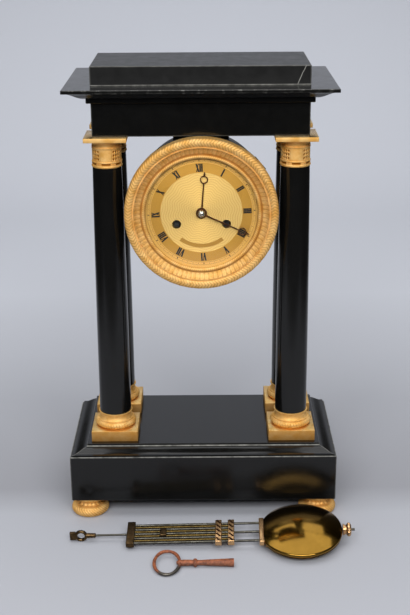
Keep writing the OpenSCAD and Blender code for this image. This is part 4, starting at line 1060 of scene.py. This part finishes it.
@dataclass
class Capital(CornerMount):
    """A gilt capital: slotted collar, drum with pitted corners, flared hollow and square abacus."""

    node: str = "capital"
    piece: str = "gilt_capital"
    steps: int = 288
    crease: float = 60.0
    collar_r: float = 13.9
    collar_h: float = 6.2
    bead_r: float = 1.35
    upper_bead_r: float = 0.9
    drum_r: float = 13.4
    drum_h: float = 13.4
    hollow_h: float = 4.9
    hollow_r: float = 16.0
    slots: int = 6
    slot_z: Point = (2.5, 4.6)
    panel: float = 24.0
    pit_step: float = 12.0
    rows: Triple = (2.1, 5.4, 8.8)
    rounding: float = 0.35
    top_tone: float = -1.0

    def __post_init__(self) -> None:
        """Takes the abacus's size from the frame."""
        low, high = reach("capital_front_left")
        self.abacus = high.x - low.x
        self.drum_top = self.collar_h + self.drum_h
        self.hollow_top = self.drum_top + self.hollow_h
        self.abacus_h = high.z - low.z - self.hollow_top

    def square(self, work: Sculpt, at: Matrix) -> None:
        """Adds the abacus; see CornerMount.square."""
        size = self.abacus, self.abacus, self.abacus_h
        middle = at @ move(0, 0, self.hollow_top + self.abacus_h / 2)
        work.block(size, middle, self.rounding, top=self.top_tone)

    def profile(self) -> list[Point]:
        """Gives the beaded collar, the drum and the flared hollow; see CornerMount.profile."""
        top, bead, wall, drum = self.drum_top, self.bead_r, self.collar_r - 1.1, self.drum_r
        spread = self.hollow_r - drum + 0.4
        flare = [(drum - 0.4 + spread * (1 - math.cos(math.pi * i / 20)) ** 1.6,
                  top + (self.hollow_h - 0.6) * i / 10) for i in range(11)]
        return [(0, 0), *arc((self.collar_r - bead, bead), bead, -90, 60, 6),
                *straight((wall, 2.7), (wall, 4.4), 4), *arc((wall, 5.3), self.upper_bead_r, -70, 80, 6),
                *straight((drum - 0.3, self.collar_h + 0.2), (drum - 0.3, top - 2.6), 28),
                (drum, top - 2.4), (drum, top - 1.3), (drum - 0.5, top - 1.1), (drum - 0.5, top - 0.5),
                (drum - 0.1, top - 0.4), (drum - 0.1, top - 0.1),
                *flare, (self.hollow_r, self.hollow_top), (0, self.hollow_top)]

    def carve(self, angle: float, radius: float, z: float) -> Point:
        """Pierces slots in the collar and rows of pits at the drum's corners, with painted shade in them and
        under the abacus; see CornerMount.carve.
        """
        if radius < self.drum_r - 1.5:
            return 0.0, 0.0
        low, high = self.slot_z
        if low < z < high:
            share = abs(((angle + math.pi / 2) * self.slots / (2 * math.pi) + 0.5) % 1 - 0.5)
            tall = smooth_step(z, low, low + 0.4) * (1 - smooth_step(z, high - 0.4, high))
            slot = (1 - smooth_step(share, 0.28, 0.32)) * tall
            return 0.7 * (tall - slot) - 0.5 * slot, slot
        up = z - self.collar_h
        if 0.4 < up < self.drum_h - 2.8:
            turned = math.degrees(angle) % 90 - 45
            column = min((-self.pit_step, 0.0, self.pit_step), key=lambda c: abs(turned - c))
            across = math.radians(turned - column) * self.drum_r
            near = min(math.hypot(across, (up - row) / 1.1) for row in self.rows)
            pit = 1 - smooth_step(near, 0.7, 1.25)
            line = 1 - smooth_step(abs(abs(turned) - (45 - self.panel)), 0.6, 1.8)
            return -0.8 * pit - 0.2 * line, max(0.95 * pit, 0.25 * line)
        # Painted shade in the flare under the abacus, with no cut.
        if z > self.drum_top:
            return 0.0, 0.35 * (1 - smooth_step(z, self.drum_top, self.hollow_top))
        return 0.0, 0.0


@dataclass
class ClockHead:
    """The chased bezel and the dial's engraving."""

    lip: float = 5.55
    band_w: float = 7.7
    bore_r: float = 54.0
    sight_r: float = 50.4
    band_rise: float = 2.4
    band_sweep: float = 150.0
    band_leaves: int = 150
    band_veins: int = 50
    palmettes: int = 90
    flutes: int = 180
    knuckle_r: float = 1.4
    knuckle_len: float = 6.0
    dial_tilt: float = 2.3
    hour_r: float = 41.2
    track_r: Point = (46.5, 48.7)
    track_line: Point = (0.14, 0.04)
    mark_r: float = 47.65
    mark: Triple = (0.35, 0.75, 0.05)
    five_mark: Triple = (0.75, 1.5, 0.05)

    def __post_init__(self) -> None:
        """Takes the bezel's size and place from the frame."""
        low, high = reach("bezel")
        self.height = (low.z + high.z) / 2
        self.outer_r = (high.z - low.z) / 2
        self.inner_r = self.outer_r - self.band_w / 2 * (1 - math.cos(math.radians(self.band_sweep)))
        self.crest_y = low.y
        self.seat_y = reach("drum_shell")[0].y
        self.lip_y = self.crest_y + self.lip
        self.chapter_y = reach("dial")[0].y

    def front(self) -> Matrix:
        """Gives the dial's own frame: X right, Y up, Z towards the viewer."""
        return move(0, 0, self.height) @ turn(90, "X")

    def build(self) -> None:
        """Makes the bezel and the engraving."""
        self.bezel()
        self.numerals()
        self.minute_track()

    def bezel(self) -> None:
        """Turns and chases the bezel and adds the knuckle behind its rim."""
        band, milled = self.band_w / 2, (self.bore_r - self.sight_r) / 2
        seat, lip = -self.seat_y, -self.lip_y
        crest = -self.crest_y - self.band_rise
        step = crest + self.band_rise * math.sin(math.radians(self.band_sweep))
        inner, bore, sight = self.inner_r, self.bore_r, self.sight_r
        rim = arc((self.outer_r - band, crest), band, 0, self.band_sweep, 22)
        profile = [(bore, seat), (self.outer_r, seat), (self.outer_r, seat + 2.5),
                   *[(x, crest + (z - crest) * self.band_rise / band) for x, z in rim],
                   (inner - 0.1, step - 0.5), (inner - 0.6, step - 0.5), (inner - 0.7, step + 0.2),
                   (inner - 1.2, step + 0.2), (inner - 1.3, step - 0.6),
                   *sag((inner - 1.5, step), (bore + 0.9, lip + 0.2), -0.7, 14),
                   (bore + 0.8, lip + 0.1), (bore + 0.1, lip + 0.1),
                   *arc((bore - milled, lip + 0.6), milled - 0.15, 0, 180, 10),
                   (sight, lip + 0.4), (sight, lip), (bore, lip)]
        work = Sculpt()
        work.lathe(profile, 720, self.front(), self.chase)
        self.knuckle(work)
        work.piece("chased_bezel", Body.DOOR, Slot.GILT, GILT, ["bezel"], 60)

    def knuckle(self, work: Sculpt) -> None:
        """Adds the middle knuckle of the hinge, about the joint's own axis.

        Args:
            work: the bezel's own mesh.
        """
        place, axis = joint("bezel_hinge")
        hinge = move(*place) @ Vector((0, 0, 1)).rotation_difference(axis).to_matrix().to_4x4()
        r, half = self.knuckle_r, self.knuckle_len / 2
        work.lathe([(0, -half), (r, -half), (r, half), (0, half)], 32, hinge)
        leaf = place.y - self.seat_y + 0.2
        work.block((1.6 * r, leaf, self.knuckle_len), hinge @ move(-0.2 * r, -leaf / 2, 0), 0.1)

    def chase(self, angle: float, radius: float, z: float) -> Point:
        """Chases leaves on the round band, a frieze of palmettes in the hollow and the milled ring, with
        painted shade in the cuts.

        Args:
            angle: round the dial, in radians.
            radius: from its centre.
            z: in front of the row's origin.

        Returns:
            Depth along the normal and the recess.
        """
        inner, bore = self.inner_r, self.bore_r
        if radius > inner and z > -self.seat_y + 3:
            across = (radius - (self.outer_r + inner) / 2) / (self.band_w / 2)
            wave = math.sin(self.band_leaves * angle + 6.0 * abs(across))
            vein = math.sin(self.band_veins * angle + 4.0 * across)
            cut = smooth_step(-wave, 0.0, 0.9) * (1 - 0.6 * smooth_step(abs(across), 0.75, 1.0))
            return -0.26 * cut - 0.06 * vein, 0.42 * cut
        if bore + 1.0 < radius < inner - 1.4:
            across = (radius - bore - 1.0) / (inner - 2.4 - bore)
            petal = abs(math.sin(self.palmettes / 2 * angle))
            shape = smooth_step(petal - 0.55 * abs(2 * across - 1) ** 2, 0.05, 0.4)
            vein = 0.5 + 0.5 * math.cos(self.flutes * angle + 3 * across)
            fade = smooth_step(across, 0.0, 0.1) * (1 - smooth_step(across, 0.9, 1.0))
            depth = 0.24 * shape + 0.06 * vein * shape - 0.14
            return depth * fade, (0.36 * (1 - shape) + 0.16 * (1 - vein) * shape) * fade
        # Painted shade: the groove beside the hollow and the sight ring's inner wall are darkened with no
        # cut.
        if bore - 0.3 < radius < bore + 0.95:
            return 0.0, 0.6
        if radius < self.sight_r + 0.1:
            return 0.0, 0.9
        if radius < bore and z > -self.lip_y + 0.5:
            flute = 0.5 + 0.5 * math.sin(self.flutes * angle + 1.2 * radius)
            return -0.16 * flute, 0.3 * flute
        return 0.0, 0.0

    def numerals(self) -> None:
        """Cuts the Roman hours on the chapter ring."""
        work = Sculpt()
        hours = ("XII", "I", "II", "III", "IIII", "V", "VI", "VII", "VIII", "IX", "X", "XI")
        for count, hour in enumerate(hours):
            around = turn(self.dial_tilt - 30 * count, "Z")
            Numeral(hour).cut(work, self.front() @ around @ move(0, self.hour_r, -self.chapter_y))
        work.piece("dial_numerals", Body.CASE, Slot.DIAL, WAX, crease=30)

    def minute_track(self) -> None:
        """Cuts the minute circle: two fine lines with a mark for each minute."""
        work = Sculpt()
        face = -self.chapter_y - 0.3
        wide, thick = self.track_line
        for r in self.track_r:
            profile = [(r, face), (r + wide, face), (r + wide, face + thick), (r, face + thick)]
            work.lathe(profile, 180, self.front())
        for minute in range(60):
            around = turn(self.dial_tilt - 6 * minute, "Z")
            at = self.front() @ around @ move(0, self.mark_r, face + thick / 2)
            work.block(self.mark if minute % 5 else self.five_mark, at)
        work.piece("dial_minute_track", Body.CASE, Slot.DIAL, WAX, crease=30)


@dataclass
class Numeral:
    """One Roman hour, built of thick and thin strokes with serifs."""

    text: str
    tall: float = 7.3
    thick: float = 1.42
    thin: float = 0.7
    serif_t: float = 0.46
    thick_serif: float = 1.3
    thin_serif: float = 1.1
    depth: float = 0.06
    layer: float = 0.001

    def cut(self, work: Sculpt, at: Matrix) -> None:
        """Adds the strokes, centred, with the foot towards the dial's centre.

        Args:
            work: the piece to add to.
            at: the numeral's own frame.
        """
        widths = {"I": 1.62, "V": 3.3, "X": 3.1}
        x = -sum(widths[mark] for mark in self.text) / 2
        for mark in self.text:
            wide = widths[mark]
            middle = at @ move(x + wide / 2, 0, self.depth / 2)
            if mark == "I":
                work.block((self.thick, self.tall, self.depth), middle)
                self.serif(work, middle, wide * 0.94)
                self.serif(work, middle @ turn(180, "Z"), wide * 0.94)
            else:
                self.diagonals(work, middle, mark, wide / 2 - 0.55)
            x += wide

    def serif(self, work: Sculpt, at: Matrix, wide: float) -> None:
        """Adds the cross stroke at the top of a stroke.

        Args:
            work: the piece to add to.
            at: the stroke's own frame.
            wide: length of the serif.
        """
        work.block((wide, self.serif_t, self.depth), at @ move(0, (self.tall - self.serif_t) / 2, 0))

    def diagonals(self, work: Sculpt, at: Matrix, mark: str, arm: float) -> None:
        """Adds the thick and the thin slanting stroke of a V or an X.

        Args:
            work: the piece to add to.
            at: the mark's own frame.
            mark: V or X.
            arm: how far a stroke's end lies from the middle.
        """
        crossed = mark == "X"
        lean = math.degrees(math.atan2(2 * arm if crossed else arm, self.tall))
        shift = 0 if crossed else arm / 2
        long = self.tall / math.cos(math.radians(lean)) * 0.98
        work.block((self.thick, long, self.depth), at @ move(-shift, 0, 0) @ turn(lean, "Z"))
        work.block((self.thin, long, self.depth), at @ move(shift, 0, 2 * self.layer) @ turn(-lean, "Z"))
        for end, wide in ((-arm, self.thick_serif), (arm, self.thin_serif)):
            self.serif(work, at @ move(end, 0, self.layer), wide)
            if crossed:
                self.serif(work, at @ move(-end, 0, self.layer) @ turn(180, "Z"), wide)


@dataclass
class Pendulum:
    """The gridiron pendulum lying in front: mirror-bright bob, knurled nut and slotted bars."""

    roll: float = 7.0
    bob_r: float = 38.0
    bob_t: float = 24.0
    rim: float = 4.0
    cap_share: float = 0.985
    yoke: float = 4.0
    nut_at: float = 5.0
    nut_r: float = 6.25
    neck_r: float = 5.2
    neck: float = 3.4
    flange: float = 4.2
    grips: int = 24
    rod_r: float = 1.25
    bar_t: float = 5.4
    bar_round: float = 0.7
    bars: tuple[tuple[float, float, float, int], ...] = (
        (76.0, 6.0, 32.0, 5), (64.4, 6.0, 32.0, 5), (36.3, 4.6, 35.0, 0))
    slot_w: float = 1.9
    slot_lean: float = -52.0
    # Two brass bars given the dark bronze finish as painted shade.
    shade_painted_bars: tuple[Triple, ...] = ((157.0, 7.4, 32.0), (127.0, 6.0, 9.6))
    eye_at: float = 203.3
    eye_r: float = 5.8
    eye_hole: float = 3.5
    eye_t: float = 3.0
    tab: Point = (5.6, 8.0)
    stalk: float = 9.0

    def lying(self) -> Matrix:
        """Gives the pendulum's own frame: X from the eye to the nut, Z through the bob."""
        place, axis = joint("rating_nut_turn")
        centre = place - axis * (self.bob_r + self.nut_at)
        yaw, pitch = math.degrees(math.atan2(axis.y, axis.x)), math.degrees(math.asin(axis.z))
        return move(*centre) @ turn(yaw, "Z") @ turn(-pitch, "Y") @ turn(self.roll, "X")

    def build(self) -> None:
        """Makes the bob, the nut, the bars and the eye."""
        self.bob()
        self.nut()
        self.grid_bars()
        self.eye()

    def eye(self) -> None:
        """Makes the upright eye with its tab and neck, and the steel rod below it."""
        work = Sculpt()
        at = self.lying() @ move(-self.eye_at, 0, 0)
        half, hole, r = self.eye_t / 2, self.eye_hole, self.eye_r
        work.lathe([(hole, 0.4 - half), (hole + 0.4, -half), (r - 0.5, -half), (r, 0.5 - half),
                    (r, half - 0.5), (r - 0.5, half), (hole + 0.4, half), (hole, half - 0.4)], 64,
                   at @ turn(90, "X"))
        long, tall = self.tab
        work.block((long, self.eye_t, tall), at @ move(1 - r - long / 2, 0, 0), 0.4)
        start = r - 1
        end = start + self.stalk
        work.lathe([(0, start), (2.4, start), (2.1, end - 0.6), (1.6, end), (0, end)], 40, at @ turn(90, "Y"))
        work.piece("pendulum_eye", Body.PENDULUM, Slot.STEEL, DARK_BRONZE, ["pendulum_hook"], 40)
        rod = Sculpt()
        along, length, _ = self.shade_painted_bars[0]
        low, high = end - 0.5, self.eye_at - along - length / 2
        rod.lathe([(0, low), (1, low), (1, high), (0, high)], 32, at @ turn(90, "Y"))
        rod.piece("pendulum_rod", Body.PENDULUM, Slot.STEEL, OLD_STEEL, crease=40)

    def grid_bars(self) -> None:
        """Makes the rounded bars across the rods, two of them with slanting slots painted as dark strips for
        their shade.
        """
        work = Sculpt()
        for along, length, wide, slots in self.bars:
            at = self.lying() @ move(-along, 0, 0)
            work.block((length, wide, self.bar_t), at, self.bar_round, 3)
            for i in range(slots):
                place = at @ move(0, (i - (slots - 1) / 2) * wide / slots, self.bar_t / 2)
                # Painted shade: each slot is a thin strip coloured dark, with no opening cut.
                work.block((length * 1.05, self.slot_w, 0.06), place @ turn(self.slot_lean, "Z"), deep=1.0)
        work.piece("slotted_pendulum_bars", Body.PENDULUM, Slot.STEEL, POLISHED_BRASS, ["pendulum_bars"], 40)
        # Painted shade: the top bar and the inner collar are darkened as brass in shadow.
        dark = Sculpt()
        for along, length, wide in self.shade_painted_bars:
            dark.block((length, wide, self.bar_t), self.lying() @ move(-along, 0, 0), self.bar_round, 3)
        dark.piece("shade_painted_pendulum_bars", Body.PENDULUM, Slot.STEEL, DARK_BRONZE, crease=40)

    def bob(self, steps: int = 28) -> None:
        """Turns the lens with its rounded edge and cuts it flat at the yoke.

        Args:
            steps: segments from the middle of a face to its edge.
        """
        rise = (self.bob_t - self.rim) / 2
        ball = (self.bob_r ** 2 + rise ** 2) / (2 * rise)
        radii = [self.bob_r * self.cap_share * i / steps for i in range(steps + 1)]
        cap = [(r, self.bob_t / 2 - ball + math.sqrt(ball ** 2 - r ** 2)) for r in radii]
        edge = arc((self.bob_r - self.rim / 2, 0), self.rim / 2, 70, -70, 8)
        work = Sculpt()
        work.lathe([*cap, *edge, *[(r, -z) for r, z in reversed(cap)]], 160, self.lying())
        plane = SHRINK @ self.lying() @ Vector((self.yoke - self.bob_r, 0, 0))
        normal = (self.lying().to_3x3() @ Vector((-1, 0, 0))).normalized()
        cut = bmesh.ops.bisect_plane(work.mesh, geom=[*work.mesh.verts, *work.mesh.edges, *work.mesh.faces],
                                     plane_co=plane, plane_no=normal, clear_outer=True)["geom_cut"]
        bmesh.ops.holes_fill(work.mesh, edges=[e for e in cut if isinstance(e, BMEdge)], sides=0)
        work.piece("mirror_bob", Body.PENDULUM, Slot.BRASS, BRIGHT_BRASS, ["pendulum_bob"], 40)

    def nut(self) -> None:
        """Turns the rating nut and knurls its flange."""
        start = self.bob_r + 0.3
        brim = start + self.neck
        end = brim + self.flange
        neck, r = self.neck_r, self.nut_r
        profile = [(self.rod_r, start), (neck - 0.4, start), (neck, start + 0.4), (neck, start + 1.4),
                   (neck - 0.9, start + 2.0), (neck - 0.9, start + 2.8), (r - 1.6, brim), (r, brim + 1.2),
                   (r, end - 1.2), (r - 0.8, end - 0.5), (neck - 0.6, end), (self.rod_r, end)]
        work = Sculpt()
        work.lathe(profile, 144, self.lying() @ turn(90, "Y"), self.knurl)
        work.piece("knurled_rating_nut", Body.NUT, Slot.BRASS, POLISHED_BRASS, ["rating_nut"], 40)

    def knurl(self, angle: float, radius: float, z: float) -> Point:
        """Cuts the grips of the flange and darkens their grooves.

        Args:
            angle: round the nut, in radians.
            radius: from its axis.
            z: along its axis; not used.

        Returns:
            Depth along the normal and the recess.
        """
        if radius < self.nut_r - 0.3:
            return 0.0, 0.0
        grip = 0.5 + 0.5 * math.cos(self.grips * angle)
        return -0.45 * grip, 0.4 * grip


@dataclass
class Key:
    """The iron winding key: forged oval bow, collared shank and a barrel that widens to its square mouth."""

    length: float = 50.0
    bow_h: float = 35.0
    wire: float = 3.2
    mouth_r: float = 3.9
    stem_r: float = 2.4
    collar: float = 36.0
    socket: float = 4.8
    socket_wall: float = 0.7
    socket_depth: float = 12.0

    def __post_init__(self) -> None:
        """Takes the key's place and the width of its bow from the frame."""
        low, high = reach("winding_key")
        self.tip = Vector((high.x, (low.y + high.y) / 2, low.z + self.mouth_r))
        self.bow_w = high.x - low.x - self.length + self.wire
        self.roll = math.degrees(math.asin((self.mouth_r - self.wire / 2) / (self.bow_h / 2)))
        self.socket_r = self.socket / 2 + self.socket_wall

    def lying(self) -> Matrix:
        """Gives the key's own frame: X along the shank, tip at the origin."""
        return move(*self.tip) @ turn(self.roll, "X")

    def build(self) -> None:
        """Turns the shank and bends the bow."""
        work = Sculpt()
        c, end, deep = -self.collar, -self.length, -self.socket_depth
        stem, mouth, bore = self.stem_r, self.mouth_r, self.socket_r
        profile = [(0, end - 1.5), (1.6, end - 1.2), (stem, end + 1), (stem + 0.5, end + 5),
                   (stem + 0.3, c - 3.0), (stem + 0.2, c - 0.4), (mouth - 0.4, c), (mouth, c + 1.0),
                   (mouth, c + 2.0), (mouth - 0.4, c + 3.0), (stem + 0.1, c + 3.4), (stem, c + 7.0),
                   (stem + 0.4, c + 13.0), (mouth - 0.4, -8), (mouth, -0.6), (mouth - 0.2, 0), (bore, 0),
                   (bore, deep), (0, deep)]
        work.lathe(profile, 64, self.lying() @ turn(90, "Y"), self.forge)
        self.bow(work)
        work.piece("iron_winding_key", Body.KEY, Slot.RUST, RUST, ["winding_key"], 45)

    def forge(self, angle: float, radius: float, z: float) -> Point:
        """Squares the socket and leaves the shank uneven.

        Args:
            angle: round the shank, in radians.
            radius: from its axis.
            z: along the shank.

        Returns:
            Depth along the normal and the recess.
        """
        if abs(radius - self.socket_r) < 0.05 and z > -self.socket_depth - 0.1:
            square = self.socket / 2 / max(abs(math.cos(angle)), abs(math.sin(angle)))
            return (radius - square) if z < -0.1 else 0.0, 0.8
        dent = 0.5 + 0.5 * math.sin(3 * angle + 0.7 * z)
        return -0.12 * dent, 0.25 * smooth_step(-math.sin(angle), 0.7, 1.0)

    def bow(self, work: Sculpt) -> None:
        """Bends a round wire to the oval bow.

        Args:
            work: the key's own mesh.
        """
        half = self.wire / 2
        a, b = self.bow_w / 2 - half, self.bow_h / 2 - half
        side = move(a, 0, 0) @ turn(90, "X")
        ring = bmesh.ops.create_circle(work.mesh, segments=14, radius=half, matrix=side)["verts"]
        made = work.spin(ring, list({e for v in ring for e in v.link_edges}), 96)
        for v in made:
            angle = math.atan2(v.co.y, v.co.x)
            out = math.hypot(v.co.x, v.co.y) - a
            normal = Vector((math.cos(angle) / a, math.sin(angle) / b, 0)).normalized()
            thin = 1 - 0.14 * (0.5 + 0.5 * math.sin(5 * angle + 1))
            centre = Vector((a * math.cos(angle), b * math.sin(angle), 0))
            v.co = centre + normal * out * thin + Vector((0, 0, v.co.z * thin))
            v[work.recess] = smooth_step(-math.sin(angle - 0.3), 0.35, 0.8)
        shift = move(-(self.length + self.bow_w / 2 - self.wire), 0, 0)
        bmesh.ops.transform(work.mesh, matrix=SHRINK @ self.lying() @ shift, verts=made)


class Packed:
    """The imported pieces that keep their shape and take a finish."""

    finishes: dict[Finish, tuple[str, ...]] = {
        DIAL: ("dial",),
        GLASS: ("bezel_glass",),
        TEMPERED: ("hour_hand", "minute_hand"),
        STEEL: ("hand_boss", "bezel_hinge_pin", "saddle_screws", "cannon_pinion", "anchor", "hammer"),
        OLD_STEEL: ("pendulum_steel_rods", "going_arbor", "strike_arbor"),
        OLD_BRASS: ("pendulum_brass_rods",),
        IRON: ("tie_rods", "tie_rod_nuts", "drum_saddle"),
        SHEET: ("drum_shell",),
        BRASS: ("minute_wheel", "hour_wheel", "front_plate", "back_plate", "plate_pillars", "going_barrel",
                "strike_barrel", "intermediate_wheel", "centre_arbor", "third_wheel", "escape_wheel",
                "suspension_cock", "count_wheel", "bell_stand", "bell"),
    }

    def build(self) -> None:
        """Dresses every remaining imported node."""
        for finish, names in self.finishes.items():
            for name in names:
                node = frame["nodes"][name]
                node.data.materials.clear()
                node.data.materials.append(finish.material())
                LOG.info("%s takes %s", name, finish.name)


@dataclass(frozen=True)
class SoftBox:
    """A rectangular soft lamp, with its place, the point it faces and its size in metres, and its watts."""

    name: str
    at: Triple
    aim: Triple
    size: Point
    power: float

    def hang(self) -> None:
        """Hangs the lamp."""
        light = bpy.data.lights.new(self.name, "AREA")
        light.shape = "RECTANGLE"
        light.size, light.size_y = self.size
        light.energy = self.power
        made = bpy.data.objects.new(self.name, light)
        made.location = self.at
        made.rotation_mode = "QUATERNION"
        made.rotation_quaternion = (Vector(self.aim) - Vector(self.at)).to_track_quat("-Z", "Y")
        bpy.context.scene.collection.objects.link(made)


@dataclass
class Studio:
    """Floor, backdrop, lamps and the camera at the photograph's view; the sheet's sizes are in metres."""

    camera_mm: Triple = (4.054, -1067.5, 574.42)
    pitch: float = 19.901
    yaw: float = -0.00146
    roll: float = -0.00693
    lens: float = 68.78
    sheet_half: float = 4.0
    sheet_front: float = -3.0
    wall_y: float = 1.5
    wall_h: float = 3.0
    bend: float = 0.5
    boxes: tuple[SoftBox, ...] = (
        SoftBox("ceiling_box", (0.0, -0.15, 2.0), (0, -0.15, 0), (3.0, 1.7), 32),
        SoftBox("rear_box", (0.0, 1.0, 1.8), (0, 0.9, 0), (2.0, 0.7), 8),
        SoftBox("front_box", (0.0, -1.45, 1.2), (0, 0, 0.3), (1.8, 0.6), 34))
    surround: str = "#d9dbe2"
    surround_strength: float = 0.12

    def build(self) -> None:
        """Sets the stage."""
        self.sweep()
        for box in self.boxes:
            box.hang()
        self.dim_surround()
        self.camera()
        bpy.context.scene.view_settings.view_transform = "Standard"

    def sweep(self) -> None:
        """Hangs a paper sweep: floor, curve and wall in one sheet."""
        work = bmesh.new()
        foot = self.wall_y - self.bend
        curve = arc((foot, self.bend), self.bend, -90, 0, 10)
        outline = [(self.sheet_front, 0.0), *curve, (self.wall_y, self.wall_h)]
        line = [work.verts.new((-self.sheet_half, y, z)) for y, z in outline]
        edges = [work.edges.new(pair) for pair in zip(line, line[1:])]
        made = bmesh.ops.extrude_edge_only(work, edges=edges)["geom"]
        far = [v for v in made if isinstance(v, BMVert)]
        bmesh.ops.translate(work, vec=(2 * self.sheet_half, 0, 0), verts=far)
        data = bpy.data.meshes.new("paper_sweep")
        work.to_mesh(data)
        work.free()
        data.shade_smooth()
        data.materials.append(StudioPaper().material())
        sheet = bpy.data.objects.new("paper_sweep", data)
        bpy.context.scene.collection.objects.link(sheet)

    def dim_surround(self) -> None:
        """Sets the dim light that comes from all round."""
        world = bpy.data.worlds.new("dim_surround")
        bpy.context.scene.world = world
        world.use_nodes = True
        back = world.node_tree.nodes["Background"]
        back.inputs["Color"].default_value = linear(self.surround)
        back.inputs["Strength"].default_value = self.surround_strength

    def camera(self) -> None:
        """Places the camera of the photograph."""
        lens = bpy.data.cameras.new("photograph_view")
        lens.lens = self.lens
        lens.sensor_width = 36.0
        lens.clip_start, lens.clip_end = 0.05, 50.0
        pitch = math.radians(self.pitch)
        level = math.cos(pitch)
        ahead = Vector((math.sin(self.yaw) * level, math.cos(self.yaw) * level, -math.sin(pitch)))
        right = Vector((math.cos(self.yaw), -math.sin(self.yaw), 0))
        up = right.cross(ahead)
        side = math.cos(self.roll) * right + math.sin(self.roll) * up
        top = -math.sin(self.roll) * right + math.cos(self.roll) * up
        turned = Matrix((side, top, -ahead)).transposed().to_4x4()
        made = bpy.data.objects.new("photograph_view", lens)
        made.matrix_world = Matrix.Translation(Vector(self.camera_mm) * MM) @ turned
        bpy.context.scene.collection.objects.link(made)
        bpy.context.scene.camera = made


def main() -> None:
    """Builds the clock in order."""
    logging.basicConfig(level=logging.INFO, format="%(name)s: %(message)s")
    for part in (Packed, MarbleCase, Foot, ColumnBase, Capital, ClockHead, Pendulum, Key, Studio):
        part().build()


if __name__ == "__main__":
    main()
